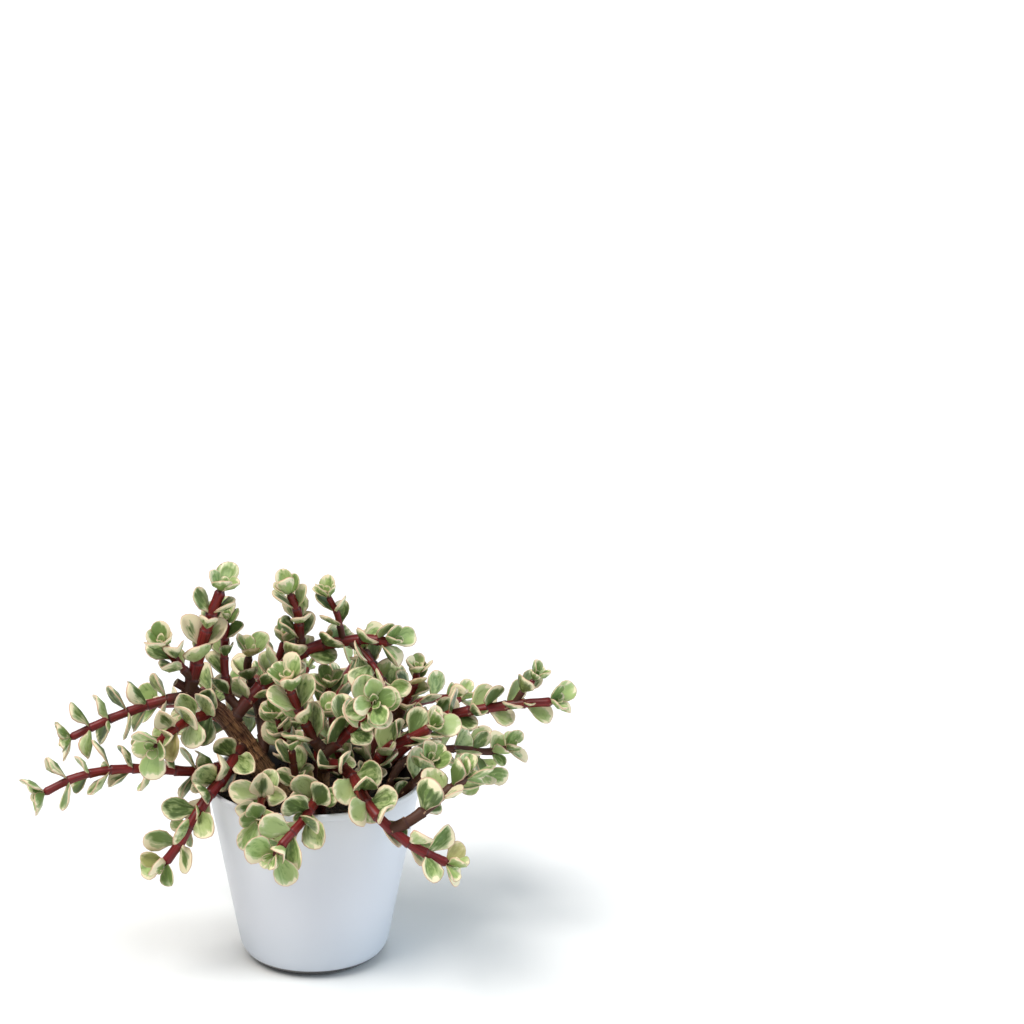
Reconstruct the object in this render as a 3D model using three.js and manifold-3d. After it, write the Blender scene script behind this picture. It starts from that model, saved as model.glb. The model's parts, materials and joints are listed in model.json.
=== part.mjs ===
// Elephant bush, the cream-edged form of Portulacaria afra, in a plain round pot.
// Millimetres, +Z up. The origin is the middle of the pot's underside, +X is the plant's
// right and +Y is away from the side that the plant leans over.
import * as THREE from 'three';
import { mergeVertices } from 'three/addons/utils/BufferGeometryUtils.js';
import Module from 'manifold-3d';

const wasm = await Module();
wasm.setup();

// Pot: a tapered cup with a rounded foot and a thin raised band under its lip.
const potHeight = 104;
const rimRadius = 60;
const bandHeight = 3.5;
const bandStep = 0.7;
const lipRound = 0.7;
const footRadius = 39.6;
const footRound = 13;
const footSteps = 3;
const wall = 2.2;
const potSides = 32;

// Soil
const soilTop = 92;
const soilRelief = 1.1;
const soilSides = 18;
const soilRings = 2;

// Clearances: between pieces that carry each other, and around every leaf.
const seatGap = 0.3;
const leafGap = 0.45;

// Stems: rings of sides, how finely they are divided, and the blunt cone that ends each,
// as a share of its tip radius.
const stemSides = 5;
const samplesPerSpan = 12;
const bareStep = 14;
const stubSpans = 2;
const tipLength = 0.7;

// Leaf outline as shares of its length and of half its width, with the height of the
// blade's edge and of its middle, above and below, in millimetres.
const sidePoints = [
  { along: 0.34, across: 0.42, lift: 0.1 },
  { along: 0.68, across: 1, lift: 0.7 },
  { along: 0.98, across: 0.46, lift: 0.8 },
];
const ribPoint = { along: 0.5, above: 0.2, below: -1.9 };
const leafWidth = 0.8;

// Leaf sizes as shares of the stem's full leaf: the least, its random addition, and the
// youngest but for the tip's, which reach full size after a third.
const leafSizes = { least: 0.86, swing: 0.24, young: 0.86, youngPart: 1 / 3 };

// How far each leaf may stray, in degrees, and how near to the tip's pair another may be.
const turnSwing = 14;
const spreadSwing = 9;
const twistSwing = 22;
const tipPairGap = 0.45;

// Usual ways to stand, of which a stem may have its own: the degrees between every other
// pair, those at which leaves leave the stem, along it and at its tip, the size of the
// tip's pair, how strongly leaves are drawn to the light, and what is added to the stem's
// direction for the way that their upper faces look.
const light = new THREE.Vector3(-0.1, -0.5, 0.85).normalize();
const usualStand = {
  pairTurn: 90, spread: 54, tipSpread: 46, tipSize: 0.86, lean: 0.4, facing: [-0.13, -0.66, 1.12],
};

// The boxes that keep things apart: a leaf's blade, its narrow neck, and lengths of stem.
const bladeBox = { from: 0.3, to: 1, width: 1, halfThickness: 1.35, lift: -0.55 };
const neckBox = { from: 0.14, to: 0.3, width: 0.36, halfThickness: 0.8, lift: -0.2 };
const sameStemOverlap = 1.2;
const blockLength = 6;
const blockOverlap = 0.5;
const parallel = 0.05;
const leafTop = 0.7;
const leafBottom = -1.8;
const seedStep = 7919;

// Turns, tilts (degrees) and sizes that a leaf tries in order until it hangs clear.
const leafTries = [
  [0, 0, 1], [16, 0, 1], [-16, 0, 1], [0, 14, 1], [0, -14, 1], [14, 14, 0.95],
  [-14, 14, 0.95], [30, 0, 0.95], [-30, 0, 0.95], [14, -14, 0.9], [-14, -14, 0.9],
  [30, 18, 0.85], [-30, 18, 0.85], [45, 0, 0.8], [-45, 0, 0.8], [0, 28, 0.8],
];

const finishes = {
  pot: { color: 0xd3dae2, roughness: 0.35 },
  soil: { color: 0x1c1613, roughness: 0.95 },
  wood: { color: 0x5b4033, roughness: 0.8 },
  leafyStem: { color: 0x7d9a68, roughness: 0.5 },
};

// Each stem: the piece it grows from, its radius at the foot and at the tip, and the points
// it passes. A woody stem has its sides and spans. A leafy stem has the bare length before
// its first pair of leaves, the distance between pairs, the length of a full leaf, the
// turn of the first pair in degrees and, where it isn't the usual, how its leaves stand.
const woodyStems = [
  {
    name: 'trunk', from: 'soil',
    thick: 7.6, thin: 3.9, sides: 9, spans: 8,
    path: [[-14, 3, 84], [-24, 3, 99], [-34.3, 5, 116], [-42.5, 6, 128], [-51.5, 6, 139],
      [-61.5, 5, 148], [-68, 4, 152]],
  },
  {
    name: 'inner_stem', from: 'soil',
    thick: 3.5, thin: 3.1, sides: 7, spans: 8,
    path: [[6, -8, 84], [5, -14, 105], [5, -20, 119], [4, -23, 128]],
  },
];
const stubPath = [[-66, 4, 151], [-71, 3, 155], [-75, 2, 158]];
const stubRadius = 2.4;

const leafyStems = [
  {
    name: 'shoot_upper_left', from: 'trunk',
    thick: 3.6, thin: 2.7, bare: 8, gap: 9.8, leaf: 19, turn: 100,
    path: [[-68, 4, 152], [-65, 3, 163], [-59, 1, 185], [-54, 0, 200], [-50, 0, 210]],
  },
  {
    name: 'twig_upper_left', from: 'shoot_upper_left',
    thick: 2.3, thin: 1.8, bare: 9, gap: 9, leaf: 18, turn: 40,
    path: [[-66, 3, 159], [-71, -1, 167], [-76, -5, 175], [-80, -9, 182]],
  },
  {
    name: 'branch_left', from: 'trunk',
    thick: 2.8, thin: 2, bare: 14, gap: 11, leaf: 18, turn: 65,
    stand: { pairTurn: 50, spread: 68, tipSpread: 56, facing: [0, -0.1, 0.15] },
    path: [[-66, 4, 150], [-84, 2, 147], [-105, -2, 141], [-119, -6, 136], [-131, -8, 130.5]],
  },
  {
    name: 'branch_low_left', from: 'trunk',
    thick: 3, thin: 2, bare: 14, gap: 11.5, leaf: 18, turn: 65,
    stand: { pairTurn: 50, spread: 64, tipSpread: 56, facing: [0, -0.2, 0.25] },
    path: [[-33, 2, 110], [-50, -10, 113], [-67, -18, 114], [-88, -24, 118], [-109, -28, 119],
      [-127, -31, 116], [-143, -34, 109]],
  },
  {
    name: 'shoot_mid_left', from: 'trunk',
    thick: 2.8, thin: 2.1, bare: 7, gap: 8.6, leaf: 19.5, turn: 65,
    stand: { pairTurn: 55, spread: 60, tipSpread: 52, tipSize: 0.95, lean: 0.1, facing: [-0.2, -2.2, 0.5] },
    path: [[-54, 5, 141], [-60, -10, 143], [-68, -22, 144], [-76, -33, 142], [-83, -42, 138]],
  },
  {
    name: 'branch_hanging_left', from: 'trunk',
    thick: 3.3, thin: 2.4, bare: 17.3, gap: 10.2, leaf: 20, turn: 30,
    stand: { tipSpread: 52, tipSize: 0.95 },
    path: [[-36.5, 5, 120.5], [-40, 1, 120], [-43, -10, 119], [-48, -22, 113], [-55, -34, 108],
      [-63, -42, 98], [-71, -46, 85], [-79, -48, 74]],
  },
  {
    name: 'shoot_upright', from: 'trunk',
    thick: 3.4, thin: 2, bare: 27, gap: 10.5, leaf: 18, turn: 0,
    path: [[-32, 6, 110], [-28, 9, 118], [-28.5, 14, 125], [-30.5, 21, 134], [-34, 26, 146],
      [-37, 28, 157], [-36, 28, 164]],
  },
  {
    name: 'twig_upright', from: 'shoot_upright',
    thick: 2.2, thin: 1.7, bare: 9, gap: 9.5, leaf: 18, turn: 50,
    path: [[-31, 22, 136], [-26, 30, 147], [-21, 34, 158], [-17, 35, 170]],
  },
  {
    name: 'branch_arching', from: 'trunk',
    thick: 3.8, thin: 2.6, bare: 18, gap: 10.5, leaf: 19, turn: 85,
    path: [[-46, 6, 130], [-41, 9, 139], [-31, 14, 149], [-16, 19, 162], [-1, 21, 171], [17, 20, 175],
      [30, 17, 177], [41, 14, 176]],
  },
  {
    name: 'shoot_behind_left', from: 'branch_arching',
    thick: 2.4, thin: 1.9, bare: 9, gap: 11, leaf: 17, turn: 10,
    path: [[-41, 9, 140], [-47, 12, 147], [-49, 15, 160], [-49, 15, 174], [-48, 14, 188]],
  },
  {
    name: 'shoot_top', from: 'branch_arching',
    thick: 2.7, thin: 2.1, bare: 9, gap: 9.5, leaf: 18, turn: 80,
    path: [[-7, 20, 168], [-8, 18, 181], [-9, 16, 193], [-13, 14, 204]],
  },
  {
    name: 'shoot_top_thin', from: 'branch_arching',
    thick: 1.8, thin: 1.5, bare: 9, gap: 9, leaf: 15, turn: 35,
    path: [[16, 20, 175], [14, 20, 185], [12, 19, 193], [8, 18, 201]],
  },
  {
    name: 'shoot_right', from: 'soil',
    thick: 3.1, thin: 2.4, bare: 36, gap: 10.5, leaf: 18.5, turn: 45,
    path: [[40, 26, 84], [46, 28, 113], [46, 30, 128], [37, 31, 150], [28, 31, 166]],
  },
  {
    name: 'twig_right', from: 'shoot_right',
    thick: 2.4, thin: 1.8, bare: 10, gap: 9.5, leaf: 16.5, turn: 0,
    path: [[46, 29, 124], [51, 25, 137], [55, 21, 147], [57, 18, 157]],
  },
  {
    name: 'shoot_front', from: 'inner_stem',
    thick: 2.9, thin: 2.2, bare: 8, gap: 10.5, leaf: 20, turn: 70,
    path: [[4, -22, 127], [-1, -24, 135], [-8, -27, 151], [-14, -30, 167]],
  },
  {
    name: 'rosette_front', from: 'inner_stem',
    thick: 2.9, thin: 2.2, bare: 12, gap: 10, leaf: 20.5, turn: 40,
    stand: { spread: 64, tipSpread: 62, tipSize: 0.9, lean: 0.1, facing: [0, -1.4, 0.5] },
    path: [[4, -22, 124], [14, -24, 133], [23, -29, 145], [29, -38, 157], [31, -50, 163]],
  },
  {
    name: 'branch_front_right', from: 'inner_stem',
    thick: 3.2, thin: 2.3, bare: 9, gap: 10.6, leaf: 19.5, turn: 15,
    path: [[5, -19, 116], [12, -30, 121], [20, -42, 119], [26, -57, 113], [34, -70, 106], [51, -76, 93],
      [69, -76, 83]],
  },
  {
    name: 'twig_low_right', from: 'branch_front_right',
    thick: 3, thin: 2.3, bare: 19, gap: 10, leaf: 19, turn: 60,
    path: [[40, -73, 101], [50, -73, 106], [60, -69, 112], [69, -64, 118], [79, -58, 123]],
  },
  {
    name: 'shoot_mid_right', from: 'soil',
    thick: 3.4, thin: 2.5, bare: 26, gap: 10, leaf: 19, turn: 80,
    path: [[24, 0, 84], [31, -3, 107], [40, -6, 121], [52, -9, 128], [63, -12, 135]],
  },
  {
    name: 'branch_far_right', from: 'soil',
    thick: 3.3, thin: 2.3, bare: 34, gap: 10.5, leaf: 18, turn: 90,
    stand: { tipSpread: 52, tipSize: 0.95 },
    path: [[20, 16, 84], [40, 20, 102], [56, 20, 118], [74, 16, 132], [95, 11, 138], [114, 7, 142],
      [131, 4, 144]],
  },
  {
    name: 'twig_far_right', from: 'branch_far_right',
    thick: 1.7, thin: 1.4, bare: 8, gap: 8, leaf: 14.5, turn: 20,
    path: [[111, 8, 142], [115, 7, 149], [121, 6, 156]],
  },
  {
    name: 'branch_right_behind', from: 'soil',
    thick: 2.4, thin: 1.8, bare: 24, gap: 11, leaf: 17.5, turn: 60,
    path: [[40, 8, 84], [46, 13, 102], [60, 20, 109], [78, 26, 109], [97, 29, 106], [109, 31, 107]],
  },
  {
    name: 'shoot_low_right', from: 'soil',
    thick: 2.4, thin: 1.8, bare: 20, gap: 10, leaf: 19, turn: 30,
    path: [[42, -14, 84], [49, -20, 101], [57, -26, 112], [62, -30, 121]],
  },
  {
    name: 'branch_over_rim', from: 'soil',
    thick: 2.8, thin: 2.1, bare: 28, gap: 8.6, leaf: 20, turn: 70,
    stand: { spread: 60, tipSpread: 60, tipSize: 1.05, lean: 0.1, facing: [0, -1.8, 0.5] },
    path: [[4, -22, 84], [2, -38, 105], [-1, -57, 108.5], [-6, -71, 106], [-14, -79, 99.5], [-20, -83, 93]],
  },
  {
    name: 'rosette_left_rim', from: 'soil',
    thick: 2.3, thin: 1.8, bare: 20, gap: 8.5, leaf: 19.5, turn: 25,
    stand: { spread: 64, tipSpread: 58, tipSize: 0.9, lean: 0.1, facing: [0, -1.4, 0.4] },
    path: [[-26, -24, 84], [-26, -34, 103], [-28, -49, 109], [-29, -64, 104.5]],
  },
  {
    name: 'shoot_centre', from: 'soil',
    thick: 2.2, thin: 1.8, bare: 11, gap: 10, leaf: 18, turn: 10,
    path: [[-6, -10, 84], [-9, -18, 104], [-11, -25, 118], [-12, -31, 130]],
  },
  {
    name: 'rear_branch_left', from: 'soil',
    thick: 2.9, thin: 2.1, bare: 30, gap: 12.5, leaf: 18.5, turn: 30,
    path: [[-32, 30, 84], [-36, 37, 106], [-50, 48, 118], [-70, 62, 124], [-90, 76, 120]],
  },
  {
    name: 'rear_branch_back_left', from: 'soil',
    thick: 3, thin: 2.1, bare: 34, gap: 13.5, leaf: 19, turn: 80,
    path: [[-8, 30, 84], [-14, 48, 118], [-24, 74, 130], [-34, 98, 128], [-41, 114, 118]],
  },
  {
    name: 'rear_branch_back', from: 'soil',
    thick: 3, thin: 2.1, bare: 36, gap: 13.5, leaf: 19, turn: 55,
    path: [[8, 28, 84], [12, 46, 122], [18, 70, 136], [24, 96, 136], [29, 114, 128]],
  },
  {
    name: 'rear_branch_hanging', from: 'soil',
    thick: 2.8, thin: 2.1, bare: 28, gap: 13, leaf: 19.5, turn: 15,
    path: [[2, 44, 84], [2, 53, 106], [0, 68, 113], [-3, 84, 104], [-5, 94, 88], [-6, 99, 70]],
  },
  {
    name: 'rear_branch_right', from: 'soil',
    thick: 2.9, thin: 2.1, bare: 28, gap: 12.5, leaf: 18.5, turn: 65,
    path: [[29, 36, 84], [34, 44, 108], [50, 60, 119], [68, 78, 121], [86, 94, 115]],
  },
  {
    name: 'rear_twig_right', from: 'rear_branch_right',
    thick: 2.3, thin: 1.8, bare: 11, gap: 13, leaf: 18.5, turn: 0,
    path: [[46, 56, 117], [62, 58, 118], [80, 62, 109], [92, 66, 94], [98, 69, 78]],
  },
  {
    name: 'rear_twig_trunk', from: 'trunk',
    thick: 2.4, thin: 1.8, bare: 12, gap: 11, leaf: 18, turn: 45,
    path: [[-52, 6, 138], [-56, 22, 142], [-61, 42, 140], [-65, 60, 132]],
  },
  {
    name: 'rear_twig_upright', from: 'shoot_upright',
    thick: 2.2, thin: 1.8, bare: 12, gap: 12, leaf: 18, turn: 20,
    path: [[-29, 15.5, 127], [-21, 32, 134], [-10, 52, 141], [-4, 66, 144]],
  },
  {
    name: 'shoot_inner_left', from: 'soil',
    thick: 2, thin: 1.5, bare: 25, gap: 10, leaf: 18.5, turn: 35,
    path: [[-10, 13, 84], [-12, 10, 106], [-17, 3, 124], [-20, -5, 139]],
  },
  {
    name: 'shoot_inner_right', from: 'soil',
    thick: 2.1, thin: 1.5, bare: 15, gap: 10, leaf: 18.5, turn: 5,
    path: [[13, 12, 84], [15, 6, 106], [11, -1, 124], [9, -5, 140]],
  },
  {
    name: 'shoot_inner_back', from: 'soil',
    thick: 2.2, thin: 1.6, bare: 19.5, gap: 10.5, leaf: 18.5, turn: 60,
    path: [[0, 20, 84], [2, 26, 110], [6, 26, 130], [8, 20, 148]],
  },
  {
    name: 'twig_arching', from: 'branch_arching',
    thick: 1.8, thin: 1.4, bare: 8, gap: 10, leaf: 18, turn: 25,
    path: [[20, 19, 175], [27, 13, 170], [34, 6, 163], [39, -1, 154]],
  },
];

const degrees = Math.PI / 180;

// A small repeatable random source, one for each stem.
function randomSource(seed) {
  let state = seed >>> 0;
  return () => {
    state = (Math.imul(state, 1664525) + 1013904223) >>> 0;
    return state / 4294967296;
  };
}

function asSolid(geometry) {
  const bare = geometry.clone();
  bare.deleteAttribute('normal');
  bare.deleteAttribute('uv');
  const merged = mergeVertices(bare, 1e-4);
  return new wasm.Manifold(new wasm.Mesh({
    numProp: 3,
    vertProperties: new Float32Array(merged.attributes.position.array),
    triVerts: new Uint32Array(merged.index.array),
  }));
}

function asGeometry(solid) {
  const mesh = solid.getMesh();
  const geometry = new THREE.BufferGeometry();
  geometry.setAttribute('position', new THREE.BufferAttribute(mesh.vertProperties, 3));
  geometry.setIndex(new THREE.BufferAttribute(mesh.triVerts, 1));
  geometry.computeVertexNormals();
  return geometry;
}

function largestBody(solid) {
  const bodies = solid.decompose();
  bodies.sort((one, other) => other.volume() - one.volume());
  return bodies[0];
}

// The stem's centre line as even samples, each with its own square frame that is
// carried along without twisting.
function centreLine(path) {
  const points = path.map((p) => new THREE.Vector3(...p));
  const curve = new THREE.CatmullRomCurve3(points, false, 'catmullrom', 0.5);
  const count = (points.length - 1) * samplesPerSpan;
  const samples = [];
  for (let i = 0; i <= count; i += 1) {
    samples.push({ at: curve.getPoint(i / count), s: 0 });
  }
  samples.forEach((sample, i) => {
    const before = samples[Math.max(i - 1, 0)];
    const after = samples[Math.min(i + 1, count)];
    sample.along = after.at.clone().sub(before.at).normalize();
    if (i > 0) sample.s = before.s + sample.at.distanceTo(before.at);
  });
  let side = new THREE.Vector3(0, 1, 0);
  samples.forEach((sample) => {
    side = side.clone().addScaledVector(sample.along, -side.dot(sample.along)).normalize();
    sample.side = side;
    sample.face = side.clone().cross(sample.along);
  });
  return { samples, length: samples[count].s };
}

function frameAt(line, s) {
  const { samples } = line;
  let i = 1;
  while (i < samples.length - 1 && samples[i].s < s) i += 1;
  const [a, b] = [samples[i - 1], samples[i]];
  const share = (s - a.s) / (b.s - a.s);
  return {
    at: a.at.clone().lerp(b.at, share),
    along: a.along.clone().lerp(b.along, share).normalize(),
    side: a.side.clone().lerp(b.side, share).normalize(),
    face: a.face.clone().lerp(b.face, share).normalize(),
  };
}

function radiusAt(stem, line, s) {
  const share = Math.min(Math.max(s / line.length, 0), 1);
  return stem.thick + (stem.thin - stem.thick) * share;
}

// Turns a straight round body along +Y into one that follows a stem's centre line.
function bendAlong(geometry, line) {
  const position = geometry.attributes.position;
  for (let i = 0; i < position.count; i += 1) {
    const frame = frameAt(line, position.getY(i));
    const point = frame.at.clone();
    point.addScaledVector(frame.side, position.getX(i));
    point.addScaledVector(frame.face, position.getZ(i));
    position.setXYZ(i, point.x, point.y, point.z);
  }
  return geometry;
}

function stemSolid(stem, line, stations, extra = 0) {
  const profile = [new THREE.Vector2(0, -extra)];
  stations.forEach((s, i) => {
    const end = i === 0 ? -extra : 0;
    profile.push(new THREE.Vector2(radiusAt(stem, line, s) + extra, s + end));
  });
  profile.push(new THREE.Vector2(0, line.length + stem.thin * tipLength + extra));
  return asSolid(bendAlong(new THREE.LatheGeometry(profile, stem.sides ?? stemSides), line));
}

// A box with its own axes: the shape that leaves and stems are kept apart with.
function block(centre, axes, halves) {
  return { centre, axes, halves, reach: Math.hypot(...halves) };
}

function spanAcross(box, axis) {
  return box.axes.reduce((sum, own, i) => sum + Math.abs(own.dot(axis)) * box.halves[i], 0);
}

function blocksClear(one, other, gap) {
  const between = other.centre.clone().sub(one.centre);
  if (between.length() > one.reach + other.reach + gap) return true;
  const axes = [...one.axes, ...other.axes];
  one.axes.forEach((a) => other.axes.forEach((b) => {
    const cross = a.clone().cross(b);
    if (cross.length() > parallel) axes.push(cross.normalize());
  }));
  return axes.some((axis) => {
    const spans = spanAcross(one, axis) + spanAcross(other, axis);
    return Math.abs(between.dot(axis)) > spans + gap;
  });
}

function stemBlocks(stem, line) {
  const count = Math.ceil(line.length / blockLength);
  const blocks = [];
  for (let i = 0; i < count; i += 1) {
    const foot = frameAt(line, (line.length * i) / count).at;
    const head = frameAt(line, (line.length * (i + 1)) / count).at;
    const frame = frameAt(line, (line.length * (i + 0.5)) / count);
    const radius = radiusAt(stem, line, (line.length * i) / count);
    const axes = [frame.along, frame.side, frame.face];
    const halfLength = foot.distanceTo(head) / 2 + blockOverlap;
    blocks.push(block(foot.lerp(head, 0.5), axes, [halfLength, radius, radius]));
  }
  return blocks;
}

function outerRadius(z) {
  return footRadius + ((rimRadius - footRadius) * z) / potHeight;
}

// Which side of the pot a point lies on: inside, outside, above, or too near to it.
function potSide(point) {
  const radius = Math.hypot(point.x, point.y);
  if (point.z > potHeight + leafGap) return 'above';
  if (radius > outerRadius(point.z) + leafGap) return 'outside';
  const inside = radius < outerRadius(point.z) - wall - leafGap;
  return inside && point.z > soilTop + soilRelief + leafGap ? 'inside' : 'touching';
}

function leafPoint(leaf, along, across, lift) {
  return leaf.root.clone()
    .addScaledVector(leaf.along, along * leaf.length)
    .addScaledVector(leaf.across, (across * leaf.width) / 2)
    .addScaledVector(leaf.face, lift);
}

function leafBlocks(leaf) {
  const axes = [leaf.along, leaf.across, leaf.face];
  return [bladeBox, neckBox].map((box) => block(
    leafPoint(leaf, (box.from + box.to) / 2, 0, box.lift),
    axes,
    [((box.to - box.from) / 2) * leaf.length, (leaf.width / 2) * box.width, box.halfThickness],
  ));
}

function clearOfPot(leaf) {
  const sides = new Set();
  [0.2, 0.4, 0.6, 0.8, 1].forEach((along) => [-0.9, 0, 0.9].forEach((across) => {
    sides.add(potSide(leafPoint(leaf, along, across, leafTop)));
    sides.add(potSide(leafPoint(leaf, along, across, leafBottom)));
  }));
  return !sides.has('touching') && !(sides.has('inside') && sides.has('outside'));
}

// One leaf: it leaves the stem at an angle, is drawn towards the light, and turns its
// upper face to the stem's tip and the way that the stem's leaves look.
function makeLeaf(frame, stand, turn, spread, twist, length) {
  const radial = frame.side.clone().multiplyScalar(Math.cos(turn))
    .addScaledVector(frame.face, Math.sin(turn));
  const along = frame.along.clone().multiplyScalar(Math.cos(spread))
    .addScaledVector(radial, Math.sin(spread))
    .addScaledVector(light, stand.lean)
    .normalize();
  const face = frame.along.clone().add(new THREE.Vector3(...stand.facing));
  face.addScaledVector(along, -face.dot(along)).normalize();
  face.applyAxisAngle(along, twist);
  const across = face.clone().cross(along);
  return { root: frame.at, along, face, across, length, width: length * leafWidth };
}

function leafStations(stem, line) {
  const stations = [];
  for (let s = stem.bare; s < line.length - stem.gap * tipPairGap; s += stem.gap) stations.push(s);
  stations.push(line.length);
  return stations;
}

function bareStations(stem) {
  const count = Math.ceil(stem.bare / bareStep);
  return Array.from({ length: count }, (_, i) => (stem.bare * i) / count);
}

function hangsClear(leaf, others, own) {
  const [blade, neck] = leafBlocks(leaf);
  return clearOfPot(leaf)
    && others.every((theirs) => blocksClear(blade, theirs, leafGap) && blocksClear(neck, theirs, leafGap))
    && own.every((theirs) => blocksClear(blade, theirs, -sameStemOverlap));
}

// Opposite pairs, each turned from the last; a leaf that finds no clear place is left out.
function growLeaves(stem, line, others) {
  const random = randomSource(stem.seed);
  const stray = (swing) => swing * (random() * 2 - 1);
  const stations = leafStations(stem, line);
  const stand = { ...usualStand, ...stem.stand };
  const own = [];
  stations.forEach((s, pair) => {
    const last = pair === stations.length - 1;
    const frame = frameAt(line, s);
    const age = (line.length - s) / line.length;
    const grown = last
      ? stand.tipSize
      : leafSizes.young + (1 - leafSizes.young) * Math.min(age / leafSizes.youngPart, 1);
    [0, 180].forEach((half) => {
      const turn = stem.turn + half + (pair % 2) * stand.pairTurn + stray(turnSwing);
      const spread = (last ? stand.tipSpread : stand.spread) + stray(spreadSwing);
      const twist = stray(twistSwing) * degrees;
      const size = stem.leaf * (leafSizes.least + leafSizes.swing * random()) * grown;
      const leaf = leafTries
        .map(([moreTurn, moreSpread, share]) => makeLeaf(
          frame,
          stand,
          (turn + moreTurn) * degrees,
          (spread + moreSpread) * degrees,
          twist,
          size * share,
        ))
        .find((tried) => hangsClear(tried, others, own));
      if (leaf) {
        stem.leaves.push(leaf);
        own.push(leafBlocks(leaf)[0]);
      }
    });
  });
}

// A fleshy blade: a ring of edge points round one middle point on each face.
function leafSolid(leaf) {
  const edge = [leafPoint(leaf, 0, 0, 0)];
  sidePoints.forEach((p) => edge.push(leafPoint(leaf, p.along, -p.across, p.lift)));
  [...sidePoints].reverse().forEach((p) => edge.push(leafPoint(leaf, p.along, p.across, p.lift)));
  const above = edge.length;
  const below = above + 1;
  const triangles = edge.flatMap((_, i) => {
    const next = (i + 1) % edge.length;
    return [i, next, above, next, i, below];
  });
  const middles = [ribPoint.above, ribPoint.below].map((lift) => leafPoint(leaf, ribPoint.along, 0, lift));
  const geometry = new THREE.BufferGeometry().setFromPoints([...edge, ...middles]);
  geometry.setIndex(triangles);
  return asSolid(geometry);
}

function potGeometry() {
  const slope = Math.atan2(rimRadius - footRadius, potHeight);
  const roundCentre = footRadius + footRound * Math.tan(slope) - footRound / Math.cos(slope);
  const profile = [new THREE.Vector2(0, 0)];
  for (let i = 0; i <= footSteps; i += 1) {
    const angle = -Math.PI / 2 + ((Math.PI / 2 - slope) * i) / footSteps;
    profile.push(new THREE.Vector2(
      roundCentre + footRound * Math.cos(angle),
      footRound + footRound * Math.sin(angle),
    ));
  }
  const bandFoot = potHeight - bandHeight;
  profile.push(new THREE.Vector2(outerRadius(bandFoot) - bandStep, bandFoot));
  profile.push(new THREE.Vector2(outerRadius(bandFoot), bandFoot + bandStep));
  profile.push(new THREE.Vector2(rimRadius, potHeight - lipRound));
  profile.push(new THREE.Vector2(rimRadius - lipRound, potHeight));
  profile.push(new THREE.Vector2(rimRadius - wall + lipRound, potHeight));
  profile.push(new THREE.Vector2(rimRadius - wall, potHeight - lipRound));
  profile.push(new THREE.Vector2(outerRadius(footRound) - wall, footRound));
  profile.push(new THREE.Vector2(roundCentre, wall));
  profile.push(new THREE.Vector2(0, wall));
  const geometry = new THREE.LatheGeometry(profile, potSides);
  return geometry.rotateX(Math.PI / 2);
}

// The soil fills the pot to a little below its lip, with low lumps on top.
function soilGeometry() {
  const profile = [new THREE.Vector2(0, wall + seatGap)];
  const floorRadius = outerRadius(footRound) - wall - seatGap;
  profile.push(new THREE.Vector2(floorRadius - footRound, wall + seatGap));
  profile.push(new THREE.Vector2(floorRadius, footRound));
  const topRadius = outerRadius(soilTop) - wall - 2 * seatGap;
  for (let i = 0; i < soilRings; i += 1) {
    profile.push(new THREE.Vector2(topRadius * (1 - i / soilRings), soilTop));
  }
  profile.push(new THREE.Vector2(0, soilTop));
  const geometry = new THREE.LatheGeometry(profile, soilSides).rotateX(Math.PI / 2);
  const position = geometry.attributes.position;
  for (let i = 0; i < position.count; i += 1) {
    const [x, y, z] = [position.getX(i), position.getY(i), position.getZ(i)];
    if (z > soilTop - soilRelief) {
      const lumps = Math.sin(x * 0.31 + 1) * Math.cos(y * 0.27);
      position.setZ(i, z + soilRelief * lumps);
    }
  }
  return geometry;
}

function addMesh(group, name, geometry, finish) {
  const mesh = new THREE.Mesh(geometry, new THREE.MeshStandardMaterial({ ...finish, metalness: 0 }));
  mesh.name = name;
  group.add(mesh);
}

function evenStations(line, spans) {
  return Array.from({ length: spans + 1 }, (_, i) => (line.length * i) / spans);
}

// A stem without its leaves; the trunk keeps the stub of a branch that was cut off it.
function bareSolid(stem, extra) {
  const stations = stem.leafy
    ? [...bareStations(stem), ...leafStations(stem, stem.line)]
    : evenStations(stem.line, stem.spans);
  const solid = stemSolid(stem, stem.line, stations, extra);
  return stem.stub ? solid.add(bareSolid(stem.stub, extra)) : solid;
}

function leafySolid(stem, parent) {
  const solid = stem.leaves.reduce((sum, leaf) => sum.add(leafSolid(leaf)), bareSolid(stem, 0));
  return parent.line ? largestBody(solid.subtract(bareSolid(parent, seatGap))) : solid;
}

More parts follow.
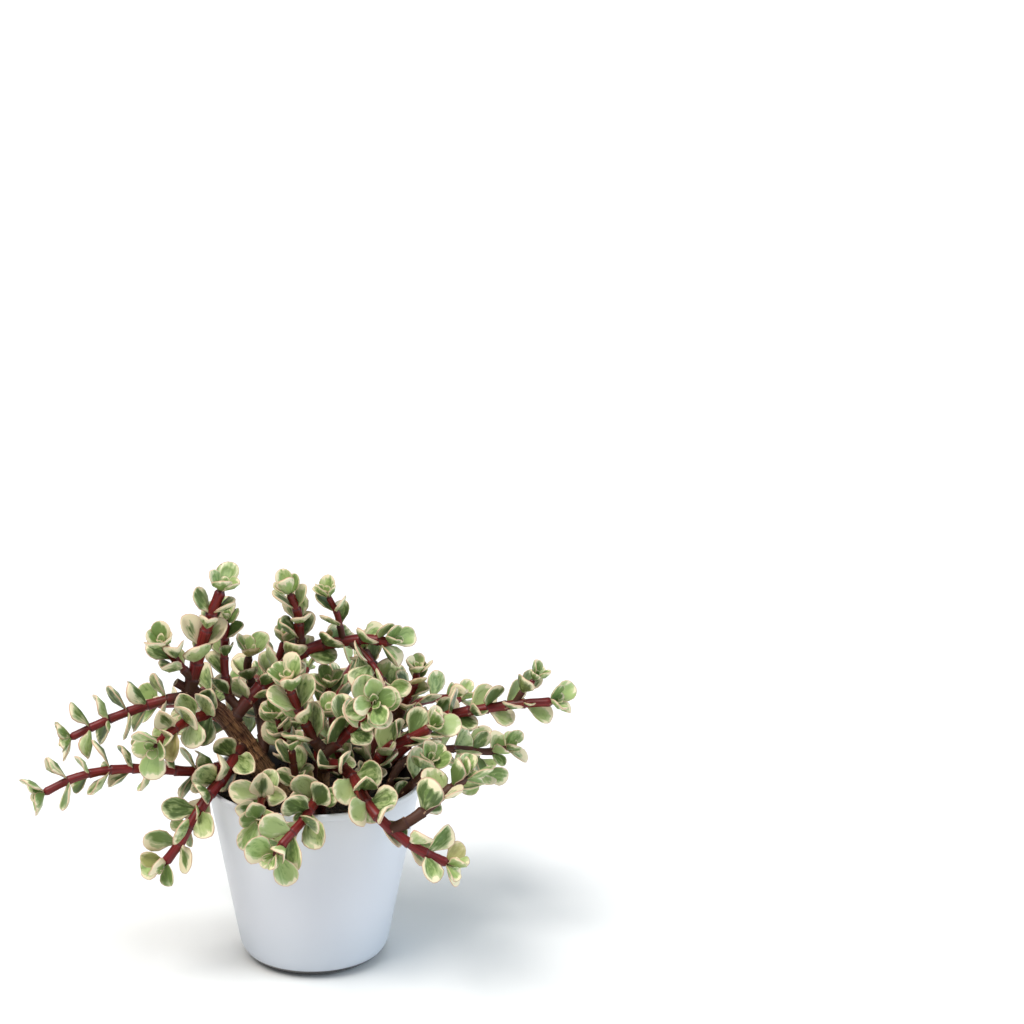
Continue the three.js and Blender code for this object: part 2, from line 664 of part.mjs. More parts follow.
function build() {
  const stems = [...woodyStems, ...leafyStems];
  const byName = new Map(stems.map((stem) => [stem.name, stem]));
  stems.forEach((stem, i) => {
    stem.leafy = i >= woodyStems.length;
    stem.seed = seedStep * (i + 1);
    stem.leaves = [];
    stem.line = centreLine(stem.path);
    stem.blocks = stemBlocks(stem, stem.line);
  });
  const trunk = byName.get('trunk');
  trunk.stub = { thick: stubRadius, thin: stubRadius, spans: stubSpans, line: centreLine(stubPath) };
  trunk.blocks.push(...stemBlocks(trunk.stub, trunk.stub.line));

  leafyStems.forEach((stem) => {
    const others = stems.filter((other) => other !== stem)
      .flatMap((other) => [...other.blocks, ...other.leaves.flatMap(leafBlocks)]);
    growLeaves(stem, stem.line, others);
  });

  const soil = stems.filter((stem) => stem.from === 'soil').reduce(
    (rest, stem) => rest.subtract(bareSolid(stem, seatGap)),
    asSolid(soilGeometry()),
  );

  const plant = new THREE.Group();
  addMesh(plant, 'pot', potGeometry(), finishes.pot);
  addMesh(plant, 'soil', asGeometry(largestBody(soil)), finishes.soil);
  woodyStems.forEach((stem) => {
    addMesh(plant, stem.name, asGeometry(bareSolid(stem, 0)), finishes.wood);
  });
  leafyStems.forEach((stem) => {
    const parent = byName.get(stem.from) ?? { line: null };
    addMesh(plant, stem.name, asGeometry(leafySolid(stem, parent)), finishes.leafyStem);
  });
  return plant;
}

export default build();
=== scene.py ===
import json
import math

import bmesh
import bpy
import numpy as np
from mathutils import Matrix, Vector, noise

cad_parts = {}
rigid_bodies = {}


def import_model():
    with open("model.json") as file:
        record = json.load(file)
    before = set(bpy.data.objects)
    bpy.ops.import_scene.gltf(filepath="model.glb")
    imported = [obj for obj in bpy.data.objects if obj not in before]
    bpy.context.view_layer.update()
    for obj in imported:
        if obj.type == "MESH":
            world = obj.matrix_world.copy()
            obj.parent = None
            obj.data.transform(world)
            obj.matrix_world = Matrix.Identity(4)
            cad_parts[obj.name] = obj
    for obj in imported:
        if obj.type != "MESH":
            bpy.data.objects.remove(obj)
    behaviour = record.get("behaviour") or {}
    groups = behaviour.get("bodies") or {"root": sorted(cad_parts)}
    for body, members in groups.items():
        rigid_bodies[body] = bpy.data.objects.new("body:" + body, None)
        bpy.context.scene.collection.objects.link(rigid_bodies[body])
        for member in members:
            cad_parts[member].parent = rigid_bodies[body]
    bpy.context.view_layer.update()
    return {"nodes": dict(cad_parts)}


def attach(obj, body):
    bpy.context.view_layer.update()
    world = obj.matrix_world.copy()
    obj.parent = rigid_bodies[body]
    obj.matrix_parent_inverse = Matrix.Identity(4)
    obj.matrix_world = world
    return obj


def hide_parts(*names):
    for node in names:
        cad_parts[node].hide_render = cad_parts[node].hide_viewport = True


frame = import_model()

scene = bpy.context.scene
mm = 0.001
print("frame loaded:", len(frame["nodes"]), "solids")


# camera, light and floor

cameraView = {"lens": 80, "sensor": 36, "near": 0.05, "place": (0, -1.18663, 0.55318),
              "turn": (75.882, -1.086, -4.860)}
lens = bpy.data.cameras.new("camera")
lens.lens = cameraView["lens"]
lens.sensor_width = cameraView["sensor"]
lens.clip_start = cameraView["near"]
camera = bpy.data.objects.new("camera", lens)
camera.location = cameraView["place"]
camera.rotation_euler = [math.radians(a) for a in cameraView["turn"]]
scene.collection.objects.link(camera)
scene.camera = camera
scene.view_settings.view_transform = "Standard"

studio = {
    "skyColour": (0.94, 0.97, 1.0), "skyStrength": 0.44,
    "lamps": [  # name, comes from, softness in degrees, strength, colour
        ("keyLight", (-0.6, -0.46, 1.35), 34, 2.95, (1.0, 0.975, 0.925)),
        ("sideLight", (0.95, -0.25, 0.35), 50, 1.5, (0.64, 0.83, 1.0)),
    ],
    "floorColour": (0.9, 0.9, 0.9), "floorRoughness": 0.9, "floorReach": 30,
}

sky = bpy.data.worlds.new("sky")
sky.use_nodes = True
skyNode = next(n for n in sky.node_tree.nodes if n.type == "BACKGROUND")
skyNode.inputs["Color"].default_value = (*studio["skyColour"], 1)
skyNode.inputs["Strength"].default_value = studio["skyStrength"]
scene.world = sky

for lampName, place, softness, strength, colour in studio["lamps"]:
    light = bpy.data.lights.new(lampName, "SUN")
    light.angle = math.radians(softness)
    light.energy = strength
    light.color = colour
    lamp = bpy.data.objects.new(lampName, light)
    lamp.location = place
    lamp.rotation_euler = Vector(place).to_track_quat("Z", "Y").to_euler()
    scene.collection.objects.link(lamp)


def newMaterial(name, values):
    material = bpy.data.materials.new(name)
    material.use_nodes = True
    shader = material.node_tree.nodes["Principled BSDF"]
    for key, value in values.items():
        shader.inputs[key].default_value = value
    return material, material.node_tree, shader


def newMesh(name, points, edges, faces, values):
    mesh = bpy.data.meshes.new(name)
    mesh.from_pydata([tuple(p) for p in points], edges, faces)
    for key, column in values.items():
        column = np.array(column, np.float32)
        kind, part = ("FLOAT_VECTOR", "vector") if column.ndim == 2 else ("FLOAT", "value")
        mesh.attributes.new(key, kind, "POINT").data.foreach_set(part, column.ravel())
    return bpy.data.objects.new(name, mesh)


reach = studio["floorReach"]
floor = newMesh("floor", [(-reach, -reach, 0), (reach, -reach, 0), (reach, reach, 0), (-reach, reach, 0)], [],
                [(0, 1, 2, 3)], {})
scene.collection.objects.link(floor)
floor.data.materials.append(newMaterial("paleFloor", {
    "Base Color": (*studio["floorColour"], 1), "Roughness": studio["floorRoughness"]})[0])
print("camera, lamps and floor ready")


# small helpers for node trees

class Field:
    # an output of a node; a sum, difference, product or share of fields adds its Math node

    def __init__(self, socket):
        self.socket, self.node, self.tree = socket, socket.node, socket.id_data

    def __add__(self, other):
        return maths("ADD", self, other)

    def __sub__(self, other):
        return maths("SUBTRACT", self, other)

    def __rsub__(self, other):
        return maths("SUBTRACT", other, self)

    def __mul__(self, other):
        return maths("MULTIPLY", self, other)

    def __truediv__(self, other):
        return maths("DIVIDE", self, other)

    __radd__, __rmul__ = __add__, __mul__


def pick(sockets, key):  # the shown socket of that name, or at that place
    shown = [s for s in sockets if s.enabled]
    return shown[key] if isinstance(key, int) else next(s for s in shown if s.name == key)


def addNode(kind, inputs=None, settings=None, output=0, tree=None):
    # a node joins the tree of the first field among its inputs, where no tree is given
    inputs = inputs or {}
    tree = tree or next(value.tree for value in inputs.values() if isinstance(value, Field))
    made = tree.nodes.new(kind)
    for name, value in (settings or {}).items():
        setattr(made, name, value)
    for key, value in inputs.items():
        if isinstance(value, Field):
            tree.links.new(value.socket, pick(made.inputs, key))
        else:
            pick(made.inputs, key).default_value = value
    return Field(pick(made.outputs, output))


def link(field, socket):
    field.tree.links.new(field.socket, socket)


def maths(operation, a, b=0.0, clamp=False):
    oneInput = operation in ("SQRT", "FRACT", "ABSOLUTE")
    return addNode("ShaderNodeMath", {0: a} if oneInput else {0: a, 1: b},
                   {"operation": operation, "use_clamp": clamp})


def centred(value, amount):  # a value from 0 to 1, as a swing to both sides
    return (value - 0.5) * amount


def vectorMaths(operation, a, b):
    return addNode("ShaderNodeVectorMath", {0: a, "Scale" if operation == "SCALE" else 1: b},
                   {"operation": operation})


def smoothStep(value, low, high):
    return addNode("ShaderNodeMapRange", {"Value": value, "From Min": low, "From Max": high},
                   {"interpolation_type": "SMOOTHSTEP"})


def combine(x, y, z):
    return addNode("ShaderNodeCombineXYZ", {"X": x, "Y": y, "Z": z})


def separate(vector):
    return [Field(socket) for socket in addNode("ShaderNodeSeparateXYZ", {"Vector": vector}).node.outputs]


def distance(x, y):
    return maths("SQRT", x * x + y * y)


def newGroup(name, kind, inputs, outputs):
    group = bpy.data.node_groups.new(name, kind)
    for direction, rows in (("INPUT", inputs), ("OUTPUT", outputs)):
        for socketName, socketKind, *start in rows:
            made = group.interface.new_socket(socketName, in_out=direction,
                                              socket_type="NodeSocket" + socketKind)
            if start:
                made.default_value = start[0]
    given = {socket.name: Field(socket) for socket in group.nodes.new("NodeGroupInput").outputs}
    return group, given, group.nodes.new("NodeGroupOutput").inputs


def numberSockets(values):
    return [(name, "Int" if isinstance(value, int) else "Float", value) for name, value in values.items()]


# shader groups that several finishes share, and the nodes that the finishes are made of

patches, given, result = newGroup("patches", "ShaderNodeTree", [
    ("Place", "Vector"), ("Seed", "Float", 0.0), ("Scale", "Float", 100.0), ("Detail", "Float", 2.0),
    ("Low", "Float", 0.4), ("High", "Float", 0.6)], [("Mask", "Float"), ("Noise", "Float")])
cloud = addNode("ShaderNodeTexNoise", {
    "Vector": given["Place"], "W": given["Seed"], "Scale": given["Scale"], "Detail": given["Detail"]},
    {"noise_dimensions": "4D"})
link(smoothStep(cloud, given["Low"], given["High"]), result["Mask"])
link(cloud, result["Noise"])

fineSpecks, given, result = newGroup("fineSpecks", "ShaderNodeTree", [
    ("Place", "Vector"), ("Seed", "Float", 0.0), ("Scale", "Float", 500.0), ("Size", "Float", 0.2),
    ("Share", "Float", 0.3)], [("Mask", "Float")])
cells = addNode("ShaderNodeTexVoronoi", {
    "Vector": given["Place"], "W": given["Seed"], "Scale": given["Scale"]}, {"voronoi_dimensions": "4D"})
core = 0.6  # share of a speck's size that is full
spot = 1.0 - smoothStep(cells, given["Size"] * core, given["Size"])
chosen = maths("LESS_THAN", separate(Field(cells.node.outputs["Color"]))[0], given["Share"])
link(spot * chosen, result["Mask"])


def patchMask(place, scale, low=0.4, high=0.6, seed=0.0, detail=2.0, output="Mask"):
    return addNode("ShaderNodeGroup", {"Place": place, "Seed": seed, "Scale": scale, "Detail": detail,
                                       "Low": low, "High": high}, {"node_tree": patches}, output)


def patchNoise(place, scale, seed=0.0, detail=2.0):
    return patchMask(place, scale, seed=seed, detail=detail, output="Noise")


def speckMask(place, scale, size, share):
    return addNode("ShaderNodeGroup", {"Place": place, "Scale": scale, "Size": size, "Share": share},
                   {"node_tree": fineSpecks})


def mixColours(factor, a, b):
    sides = {key: value if isinstance(value, Field) else (*value, 1) for key, value in (("A", a), ("B", b))}
    return addNode("ShaderNodeMix", {"Factor": factor} | sides, {"data_type": "RGBA"})


def fade(finish, name, value):
    # the mask of a layer: the finish says where it starts, where it is full, and how strong it is
    low, high, strength = finish["fades"][name]
    mask = smoothStep(value, low, high)
    return mask if strength == 1 else mask * strength


def layered(colour, finish, layers):  # lays colours of the finish over a colour in turn, each by its mask
    for name, mask in layers:
        colour = mixColours(mask, colour, finish[name])
    return colour


def colourRamp(factor, stops):
    ramp = addNode("ShaderNodeValToRGB", {"Fac": factor})
    elements = ramp.node.color_ramp.elements
    while len(elements) < len(stops):
        elements.new(0.5)
    for element, (position, colour) in zip(elements, stops):
        element.position = position
        element.color = (*colour, 1)
    return ramp


def readValue(tree, name, output="Fac"):
    return addNode("ShaderNodeAttribute", None, {"attribute_name": name}, output, tree)


def objectPlace(tree):
    return addNode("ShaderNodeTexCoord", output="Object", tree=tree)


def finishWith(shader, finish, colour, roughness, height):
    strength, depth = finish["bump"]
    bump = addNode("ShaderNodeBump", {"Strength": strength, "Distance": depth, "Height": height})
    for key, field in (("Base Color", colour), ("Roughness", roughness), ("Normal", bump)):
        link(field, shader.inputs[key])


# what the growing trees share, and how their pieces are placed

def namedValue(tree, name, kind="FLOAT"):
    return addNode("GeometryNodeInputNamedAttribute", {"Name": name}, {"data_type": kind}, tree=tree)


def storeValue(geometry, name, value, kind="FLOAT"):
    return addNode("GeometryNodeStoreNamedAttribute", {"Geometry": geometry, "Name": name, "Value": value},
                   {"data_type": kind})


def randomValue(seed, kind="FLOAT", limits=None):
    return addNode("FunctionNodeRandomValue", {"Seed": seed} | (limits or {}), {"data_type": kind})


def position(tree):
    return addNode("GeometryNodeInputPosition", tree=tree)


def tubeAlong(lines, sides, thickness):  # its attribute "around" says where a point stands round the stem
    ring = addNode("GeometryNodeCurvePrimitiveCircle", {"Resolution": sides, "Radius": 1.0},
                   {"mode": "RADIUS"})
    return addNode("GeometryNodeCurveToMesh", {
        "Curve": addNode("GeometryNodeMeshToCurve", {"Mesh": lines}), "Scale": thickness, "Fill Caps": True,
        "Profile Curve": storeValue(ring, "around", position(lines.tree), "FLOAT_VECTOR")})


def moved(geometry, amount, direction=None):  # along the normals, unless another direction is given
    direction = direction or addNode("GeometryNodeInputNormal", tree=geometry.tree)
    return addNode("GeometryNodeSetPosition", {
        "Geometry": geometry, "Offset": vectorMaths("SCALE", direction, amount)})


def smoothAndPainted(geometry, material):
    smooth = addNode("GeometryNodeSetShadeSmooth", {"Geometry": geometry})
    return addNode("GeometryNodeSetMaterial", {"Geometry": smooth, "Material": material})


def shapesOn(points, shapes, which, turn, size):  # one shape of a collection on each point, as real mesh
    kinds = addNode("GeometryNodeCollectionInfo", {
        "Collection": shapes, "Separate Children": True, "Reset Children": True})
    return addNode("GeometryNodeRealizeInstances", {"Geometry": addNode("GeometryNodeInstanceOnPoints", {
        "Points": points, "Instance": kinds, "Pick Instance": True, "Instance Index": which,
        "Rotation": turn, "Scale": size})})


def joinedParts(*parts):
    joined = addNode("GeometryNodeJoinGeometry", tree=parts[0].tree)
    for part in parts:
        link(part, joined.node.inputs[0])
    return joined


def grownMesh(thing, tree, values, keep):
    # runs the tree on the object and leaves a plain mesh with only the attributes that its materials read
    scene.collection.objects.link(thing)
    modifier = thing.modifiers.new(tree.name, "NODES")
    modifier.node_group = tree
    for item in tree.interface.items_tree:
        if item.item_type == "SOCKET" and item.in_out == "INPUT" and item.name in values:
            modifier[item.identifier] = values[item.name]
    evaluated = thing.evaluated_get(bpy.context.evaluated_depsgraph_get())
    plain = bpy.data.meshes.new_from_object(evaluated)
    thing.modifiers.clear()
    thing.data = plain
    plain.name = thing.name
    for attribute in [a.name for a in plain.attributes]:
        if attribute not in keep and not plain.attributes[attribute].is_required \
                and not attribute.startswith(".") and attribute not in ("material_index", "sharp_face"):
            plain.attributes.remove(plain.attributes[attribute])


def placePiece(piece, replaced):
    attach(piece, "root")
    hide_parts(replaced)


def dropShapes(shapes):
    for shape in list(shapes.objects):
        bpy.data.objects.remove(shape)
    bpy.data.collections.remove(shapes)


# each stem: name, foot and tip radius, for a leafy one its bare length, the distance between pairs, leaf
# length and first turn, then the points that it passes, in millimetres, and what is special to its leaves

woodyTable = [
    ("trunk", 7.6, 3.9,
     [(-14, 3, 84), (-24, 3, 99), (-34.3, 5, 116), (-42.5, 6, 128), (-51.5, 6, 139), (-61.5, 5, 148),
      (-68, 4, 152)]),
    ("inner_stem", 3.5, 3.1,
     [(6, -8, 84), (5, -14, 105), (5, -20, 119), (4, -23, 128)]),
]
leafyTable = [
    ("shoot_upper_left", 3.6, 2.7, 8, 9.8, 19, 100,
     [(-68, 4, 152), (-65, 3, 163), (-59, 1, 185), (-54, 0, 200), (-50, 0, 210)]),
    ("twig_upper_left", 2.3, 1.8, 9, 9, 18, 40,
     [(-66, 3, 159), (-71, -1, 167), (-76, -5, 175), (-80, -9, 182)]),
    ("branch_left", 2.8, 2, 14, 11, 18, 65,
     [(-66, 4, 150), (-84, 2, 147), (-105, -2, 141), (-119, -6, 136), (-131, -8, 130.5)],
     {"pairTurn": 50, "spread": 68, "tipSpread": 56, "facing": (0, -0.1, 0.15)}),
    ("branch_low_left", 3, 2, 14, 11.5, 18, 65,
     [(-33, 2, 110), (-50, -10, 113), (-67, -18, 114), (-88, -24, 118), (-109, -28, 119),
      (-127, -31, 116), (-143, -34, 109)],
     {"pairTurn": 50, "spread": 64, "tipSpread": 56, "facing": (0, -0.2, 0.25)}),
    ("shoot_mid_left", 2.8, 2.1, 7, 8.6, 19.5, 65,
     [(-54, 5, 141), (-60, -10, 143), (-68, -22, 144), (-76, -33, 142), (-83, -42, 138)],
     {"pairTurn": 55, "spread": 60, "tipSpread": 52, "tipSize": 0.95, "lean": 0.1,
      "facing": (-0.2, -2.2, 0.5)}),
    ("branch_hanging_left", 3.3, 2.4, 17.3, 10.2, 20, 30,
     [(-36.5, 5, 120.5), (-40, 1, 120), (-43, -10, 119), (-48, -22, 113), (-55, -34, 108),
      (-63, -42, 98), (-71, -46, 85), (-79, -48, 74)],
     {"tipSpread": 52, "tipSize": 0.95}),
    ("shoot_upright", 3.4, 2, 27, 10.5, 18, 0,
     [(-32, 6, 110), (-28, 9, 118), (-28.5, 14, 125), (-30.5, 21, 134), (-34, 26, 146), (-37, 28, 157),
      (-36, 28, 164)]),
    ("twig_upright", 2.2, 1.7, 9, 9.5, 18, 50,
     [(-31, 22, 136), (-26, 30, 147), (-21, 34, 158), (-17, 35, 170)]),
    ("branch_arching", 3.8, 2.6, 18, 10.5, 19, 85,
     [(-46, 6, 130), (-41, 9, 139), (-31, 14, 149), (-16, 19, 162), (-1, 21, 171), (17, 20, 175),
      (30, 17, 177), (41, 14, 176)]),
    ("shoot_behind_left", 2.4, 1.9, 9, 11, 17, 10,
     [(-41, 9, 140), (-47, 12, 147), (-49, 15, 160), (-49, 15, 174), (-48, 14, 188)]),
    ("shoot_top", 2.7, 2.1, 9, 9.5, 18, 80,
     [(-7, 20, 168), (-8, 18, 181), (-9, 16, 193), (-13, 14, 204)]),
    ("shoot_top_thin", 1.8, 1.5, 9, 9, 15, 35,
     [(16, 20, 175), (14, 20, 185), (12, 19, 193), (8, 18, 201)]),
    ("shoot_right", 3.1, 2.4, 36, 10.5, 18.5, 45,
     [(40, 26, 84), (46, 28, 113), (46, 30, 128), (37, 31, 150), (28, 31, 166)]),
    ("twig_right", 2.4, 1.8, 10, 9.5, 16.5, 0,
     [(46, 29, 124), (51, 25, 137), (55, 21, 147), (57, 18, 157)]),
    ("shoot_front", 2.9, 2.2, 8, 10.5, 20, 70,
     [(4, -22, 127), (-1, -24, 135), (-8, -27, 151), (-14, -30, 167)]),
    ("rosette_front", 2.9, 2.2, 12, 10, 20.5, 40,
     [(4, -22, 124), (14, -24, 133), (23, -29, 145), (29, -38, 157), (31, -50, 163)],
     {"spread": 64, "tipSpread": 62, "tipSize": 0.9, "lean": 0.1, "facing": (0, -1.4, 0.5)}),
    ("branch_front_right", 3.2, 2.3, 9, 10.6, 19.5, 15,
     [(5, -19, 116), (12, -30, 121), (20, -42, 119), (26, -57, 113), (34, -70, 106), (51, -76, 93),
      (69, -76, 83)]),
    ("twig_low_right", 3, 2.3, 19, 10, 19, 60,
     [(40, -73, 101), (50, -73, 106), (60, -69, 112), (69, -64, 118), (79, -58, 123)]),
    ("shoot_mid_right", 3.4, 2.5, 26, 10, 19, 80,
     [(24, 0, 84), (31, -3, 107), (40, -6, 121), (52, -9, 128), (63, -12, 135)]),
    ("branch_far_right", 3.3, 2.3, 34, 10.5, 18, 90,
     [(20, 16, 84), (40, 20, 102), (56, 20, 118), (74, 16, 132), (95, 11, 138), (114, 7, 142),
      (131, 4, 144)],
     {"tipSpread": 52, "tipSize": 0.95}),
    ("twig_far_right", 1.7, 1.4, 8, 8, 14.5, 20,
     [(111, 8, 142), (115, 7, 149), (121, 6, 156)]),
    ("branch_right_behind", 2.4, 1.8, 24, 11, 17.5, 60,
     [(40, 8, 84), (46, 13, 102), (60, 20, 109), (78, 26, 109), (97, 29, 106), (109, 31, 107)]),
    ("shoot_low_right", 2.4, 1.8, 20, 10, 19, 30,
     [(42, -14, 84), (49, -20, 101), (57, -26, 112), (62, -30, 121)]),
    ("branch_over_rim", 2.8, 2.1, 28, 8.6, 20, 70,
     [(4, -22, 84), (2, -38, 105), (-1, -57, 108.5), (-6, -71, 106), (-14, -79, 99.5), (-20, -83, 93)],
     {"spread": 60, "tipSpread": 60, "tipSize": 1.05, "lean": 0.1, "facing": (0, -1.8, 0.5)}),
    ("rosette_left_rim", 2.3, 1.8, 20, 8.5, 19.5, 25,
     [(-26, -24, 84), (-26, -34, 103), (-28, -49, 109), (-29, -64, 104.5)],
     {"spread": 64, "tipSpread": 58, "tipSize": 0.9, "lean": 0.1, "facing": (0, -1.4, 0.4)}),
    ("shoot_centre", 2.2, 1.8, 11, 10, 18, 10,
     [(-6, -10, 84), (-9, -18, 104), (-11, -25, 118), (-12, -31, 130)]),
    ("rear_branch_left", 2.9, 2.1, 30, 12.5, 18.5, 30,
     [(-32, 30, 84), (-36, 37, 106), (-50, 48, 118), (-70, 62, 124), (-90, 76, 120)]),
    ("rear_branch_back_left", 3, 2.1, 34, 13.5, 19, 80,
     [(-8, 30, 84), (-14, 48, 118), (-24, 74, 130), (-34, 98, 128), (-41, 114, 118)]),
    ("rear_branch_back", 3, 2.1, 36, 13.5, 19, 55,
     [(8, 28, 84), (12, 46, 122), (18, 70, 136), (24, 96, 136), (29, 114, 128)]),
    ("rear_branch_hanging", 2.8, 2.1, 28, 13, 19.5, 15,
     [(2, 44, 84), (2, 53, 106), (0, 68, 113), (-3, 84, 104), (-5, 94, 88), (-6, 99, 70)]),
    ("rear_branch_right", 2.9, 2.1, 28, 12.5, 18.5, 65,
     [(29, 36, 84), (34, 44, 108), (50, 60, 119), (68, 78, 121), (86, 94, 115)]),
    ("rear_twig_right", 2.3, 1.8, 11, 13, 18.5, 0,
     [(46, 56, 117), (62, 58, 118), (80, 62, 109), (92, 66, 94), (98, 69, 78)]),
    ("rear_twig_trunk", 2.4, 1.8, 12, 11, 18, 45,
     [(-52, 6, 138), (-56, 22, 142), (-61, 42, 140), (-65, 60, 132)]),
    ("rear_twig_upright", 2.2, 1.8, 12, 12, 18, 20,
     [(-29, 15.5, 127), (-21, 32, 134), (-10, 52, 141), (-4, 66, 144)]),
    ("shoot_inner_left", 2, 1.5, 25, 10, 18.5, 35,
     [(-10, 13, 84), (-12, 10, 106), (-17, 3, 124), (-20, -5, 139)]),
    ("shoot_inner_right", 2.1, 1.5, 15, 10, 18.5, 5,
     [(13, 12, 84), (15, 6, 106), (11, -1, 124), (9, -5, 140)]),
    ("shoot_inner_back", 2.2, 1.6, 19.5, 10.5, 18.5, 60,
     [(0, 20, 84), (2, 26, 110), (6, 26, 130), (8, 20, 148)]),
    ("twig_arching", 1.8, 1.4, 8, 10, 18, 25,
     [(20, 19, 175), (27, 13, 170), (34, 6, 163), (39, -1, 154)]),
]
stub = {"thick": 2.4, "thin": 2.4, "path": [(-66, 4, 151), (-71, 3, 155), (-75, 2, 158)]}


# how the plant grows, in millimetres and degrees, as in the solids

growth = {
    "light": (-0.1, -0.5, 0.85), "turnSwing": 14, "spreadSwing": 9, "twistSwing": 22,
    "tipPairGap": 0.45, "leafWidth": 0.8, "leastSize": 0.86, "sizeSwing": 0.24,
    "youngSize": 0.86, "youngPart": 1 / 3, "leafGap": 0.45, "sameStemOverlap": 1.2,
    "samplesPerSpan": 12, "blockLength": 6, "blockOverlap": 0.5, "parallel": 0.05, "seedStep": 7919,
    "bladeBox": (0.3, 1, 1, 1.35, -0.55), "neckBox": (0.14, 0.3, 0.36, 0.8, -0.2),
    "testAlong": (0.2, 0.4, 0.6, 0.8, 1), "testAcross": (-0.9, 0, 0.9), "testLift": (0.7, -1.8),
}
usualStand = {"pairTurn": 90, "spread": 54, "tipSpread": 46, "tipSize": 0.86, "lean": 0.4,
              "facing": (-0.13, -0.66, 1.12)}
leafTries = [  # turn, tilt and size that a leaf tries until it hangs clear
    (0, 0, 1), (16, 0, 1), (-16, 0, 1), (0, 14, 1), (0, -14, 1), (14, 14, 0.95), (-14, 14, 0.95),
    (30, 0, 0.95), (-30, 0, 0.95), (14, -14, 0.9), (-14, -14, 0.9), (30, 18, 0.85), (-30, 18, 0.85),
    (45, 0, 0.8), (-45, 0, 0.8), (0, 28, 0.8),
]
pot = {"height": 104, "rim": 60, "foot": 39.6, "footRound": 13, "wall": 2.2, "band": 3.5, "bandStep": 0.7,
       "lipRound": 0.8, "sides": 144}
soil = {"top": 92, "relief": 1.1}


def unit(v):
    return v / np.sqrt(np.dot(v, v))


def randomSource(seed):
    state = seed % 2**32

    def draw():
        nonlocal state
        state = (state * 1664525 + 1013904223) % 2**32
        return state / 2**32
    return draw


def centreLine(path):
    points = np.array(path, float)
    points = np.vstack([2 * points[0] - points[1], points, 2 * points[-1] - points[-2]])
    spans = len(path) - 1
    count = spans * growth["samplesPerSpan"]
    at = []
    for i in range(count + 1):
        span = min(int(i / count * spans), spans - 1)
        t = i / count * spans - span
        a, b, c, d = points[span:span + 4]
        leave, arrive = (c - a) / 2, (d - b) / 2
        at.append(b + leave * t + (3 * (c - b) - 2 * leave - arrive) * t**2
                  + (2 * (b - c) + leave + arrive) * t**3)
    at = np.array(at)
    step = np.sqrt(((at[1:] - at[:-1])**2).sum(1))
    along = [unit(at[min(i + 1, count)] - at[max(i - 1, 0)]) for i in range(count + 1)]
    side, sides = np.array((0.0, 1.0, 0.0)), []
    for tangent in along:
        side = unit(side - tangent * side.dot(tangent))
        sides.append(side)
    faces = [np.cross(a, b) for a, b in zip(sides, along)]
    return {"s": np.concatenate([[0], np.cumsum(step)]), "at": at, "along": np.array(along),
            "side": np.array(sides), "face": np.array(faces), "length": float(step.sum())}


def frameAt(line, s):
    i = 1
    while i < len(line["s"]) - 1 and line["s"][i] < s:
        i += 1
    share = (s - line["s"][i - 1]) / (line["s"][i] - line["s"][i - 1])
    mixed = {key: line[key][i - 1] + (line[key][i] - line[key][i - 1]) * share
             for key in ("at", "along", "side", "face")}
    return {key: value if key == "at" else unit(value) for key, value in mixed.items()}


def radiusAt(stem, s):
    return stem["thick"] + (stem["thin"] - stem["thick"]) * min(max(s / stem["line"]["length"], 0), 1)


def stemBlocks(stem):
    line = stem["line"]
    count = math.ceil(line["length"] / growth["blockLength"])
    blocks = []
    for i in range(count):
        foot, middle, head = (frameAt(line, line["length"] * (i + k) / count) for k in (0, 0.5, 1))
        half = math.dist(foot["at"], head["at"]) / 2 + growth["blockOverlap"]
        radius = radiusAt(stem, line["length"] * i / count)
        blocks.append(((foot["at"] + head["at"]) / 2, (middle["along"], middle["side"], middle["face"]),
                       (half, radius, radius)))
    return blocks


def leafPoint(leaf, along, across, lift):
    return (leaf["root"] + leaf["along"] * along * leaf["length"]
            + leaf["across"] * across * leaf["width"] / 2 + leaf["face"] * lift)


def leafBlocks(leaf):
    axes = (leaf["along"], leaf["across"], leaf["face"])
    return [(leafPoint(leaf, (near + far) / 2, 0, lift), axes,
             ((far - near) / 2 * leaf["length"], leaf["width"] / 2 * width, thick))
            for near, far, width, thick, lift in (growth["bladeBox"], growth["neckBox"])]


def packed(blocks):
    centres, axes, halves = (np.array([b[k] for b in blocks], float) for k in range(3))
    return {"centre": centres, "axes": axes, "half": halves, "reach": np.sqrt((halves**2).sum(1))}


def keepsClear(block, others, gap):
    centre, axes, half = (np.array(x, float) for x in block)
    between = others["centre"] - centre
    near = np.sqrt((between**2).sum(1)) <= math.hypot(*half) + others["reach"] + gap
    if not near.any():
        return True
    between, theirs, theirHalf = between[near], others["axes"][near], others["half"][near]
    crosses = np.cross(axes[None, :, None], theirs[:, None]).reshape(len(theirs), 9, 3)
    size = np.sqrt((crosses**2).sum(2))
    real = size > growth["parallel"]
    crosses = crosses / np.where(real, size, 1)[..., None]
    lines = np.concatenate([np.broadcast_to(axes, theirs.shape), theirs, crosses], axis=1)
    real = np.concatenate([np.ones((len(theirs), 6), bool), real], axis=1)
    mine = (np.abs(lines @ axes.T) * half).sum(2)
    other = (np.abs(np.einsum("nak,njk->naj", lines, theirs)) * theirHalf[:, None]).sum(2)
    apart = np.abs(np.einsum("nak,nk->na", lines, between)) > mine + other + gap
    return bool((apart & real).any(1).all())


def outerRadius(z):
    return pot["foot"] + (pot["rim"] - pot["foot"]) * z / pot["height"]


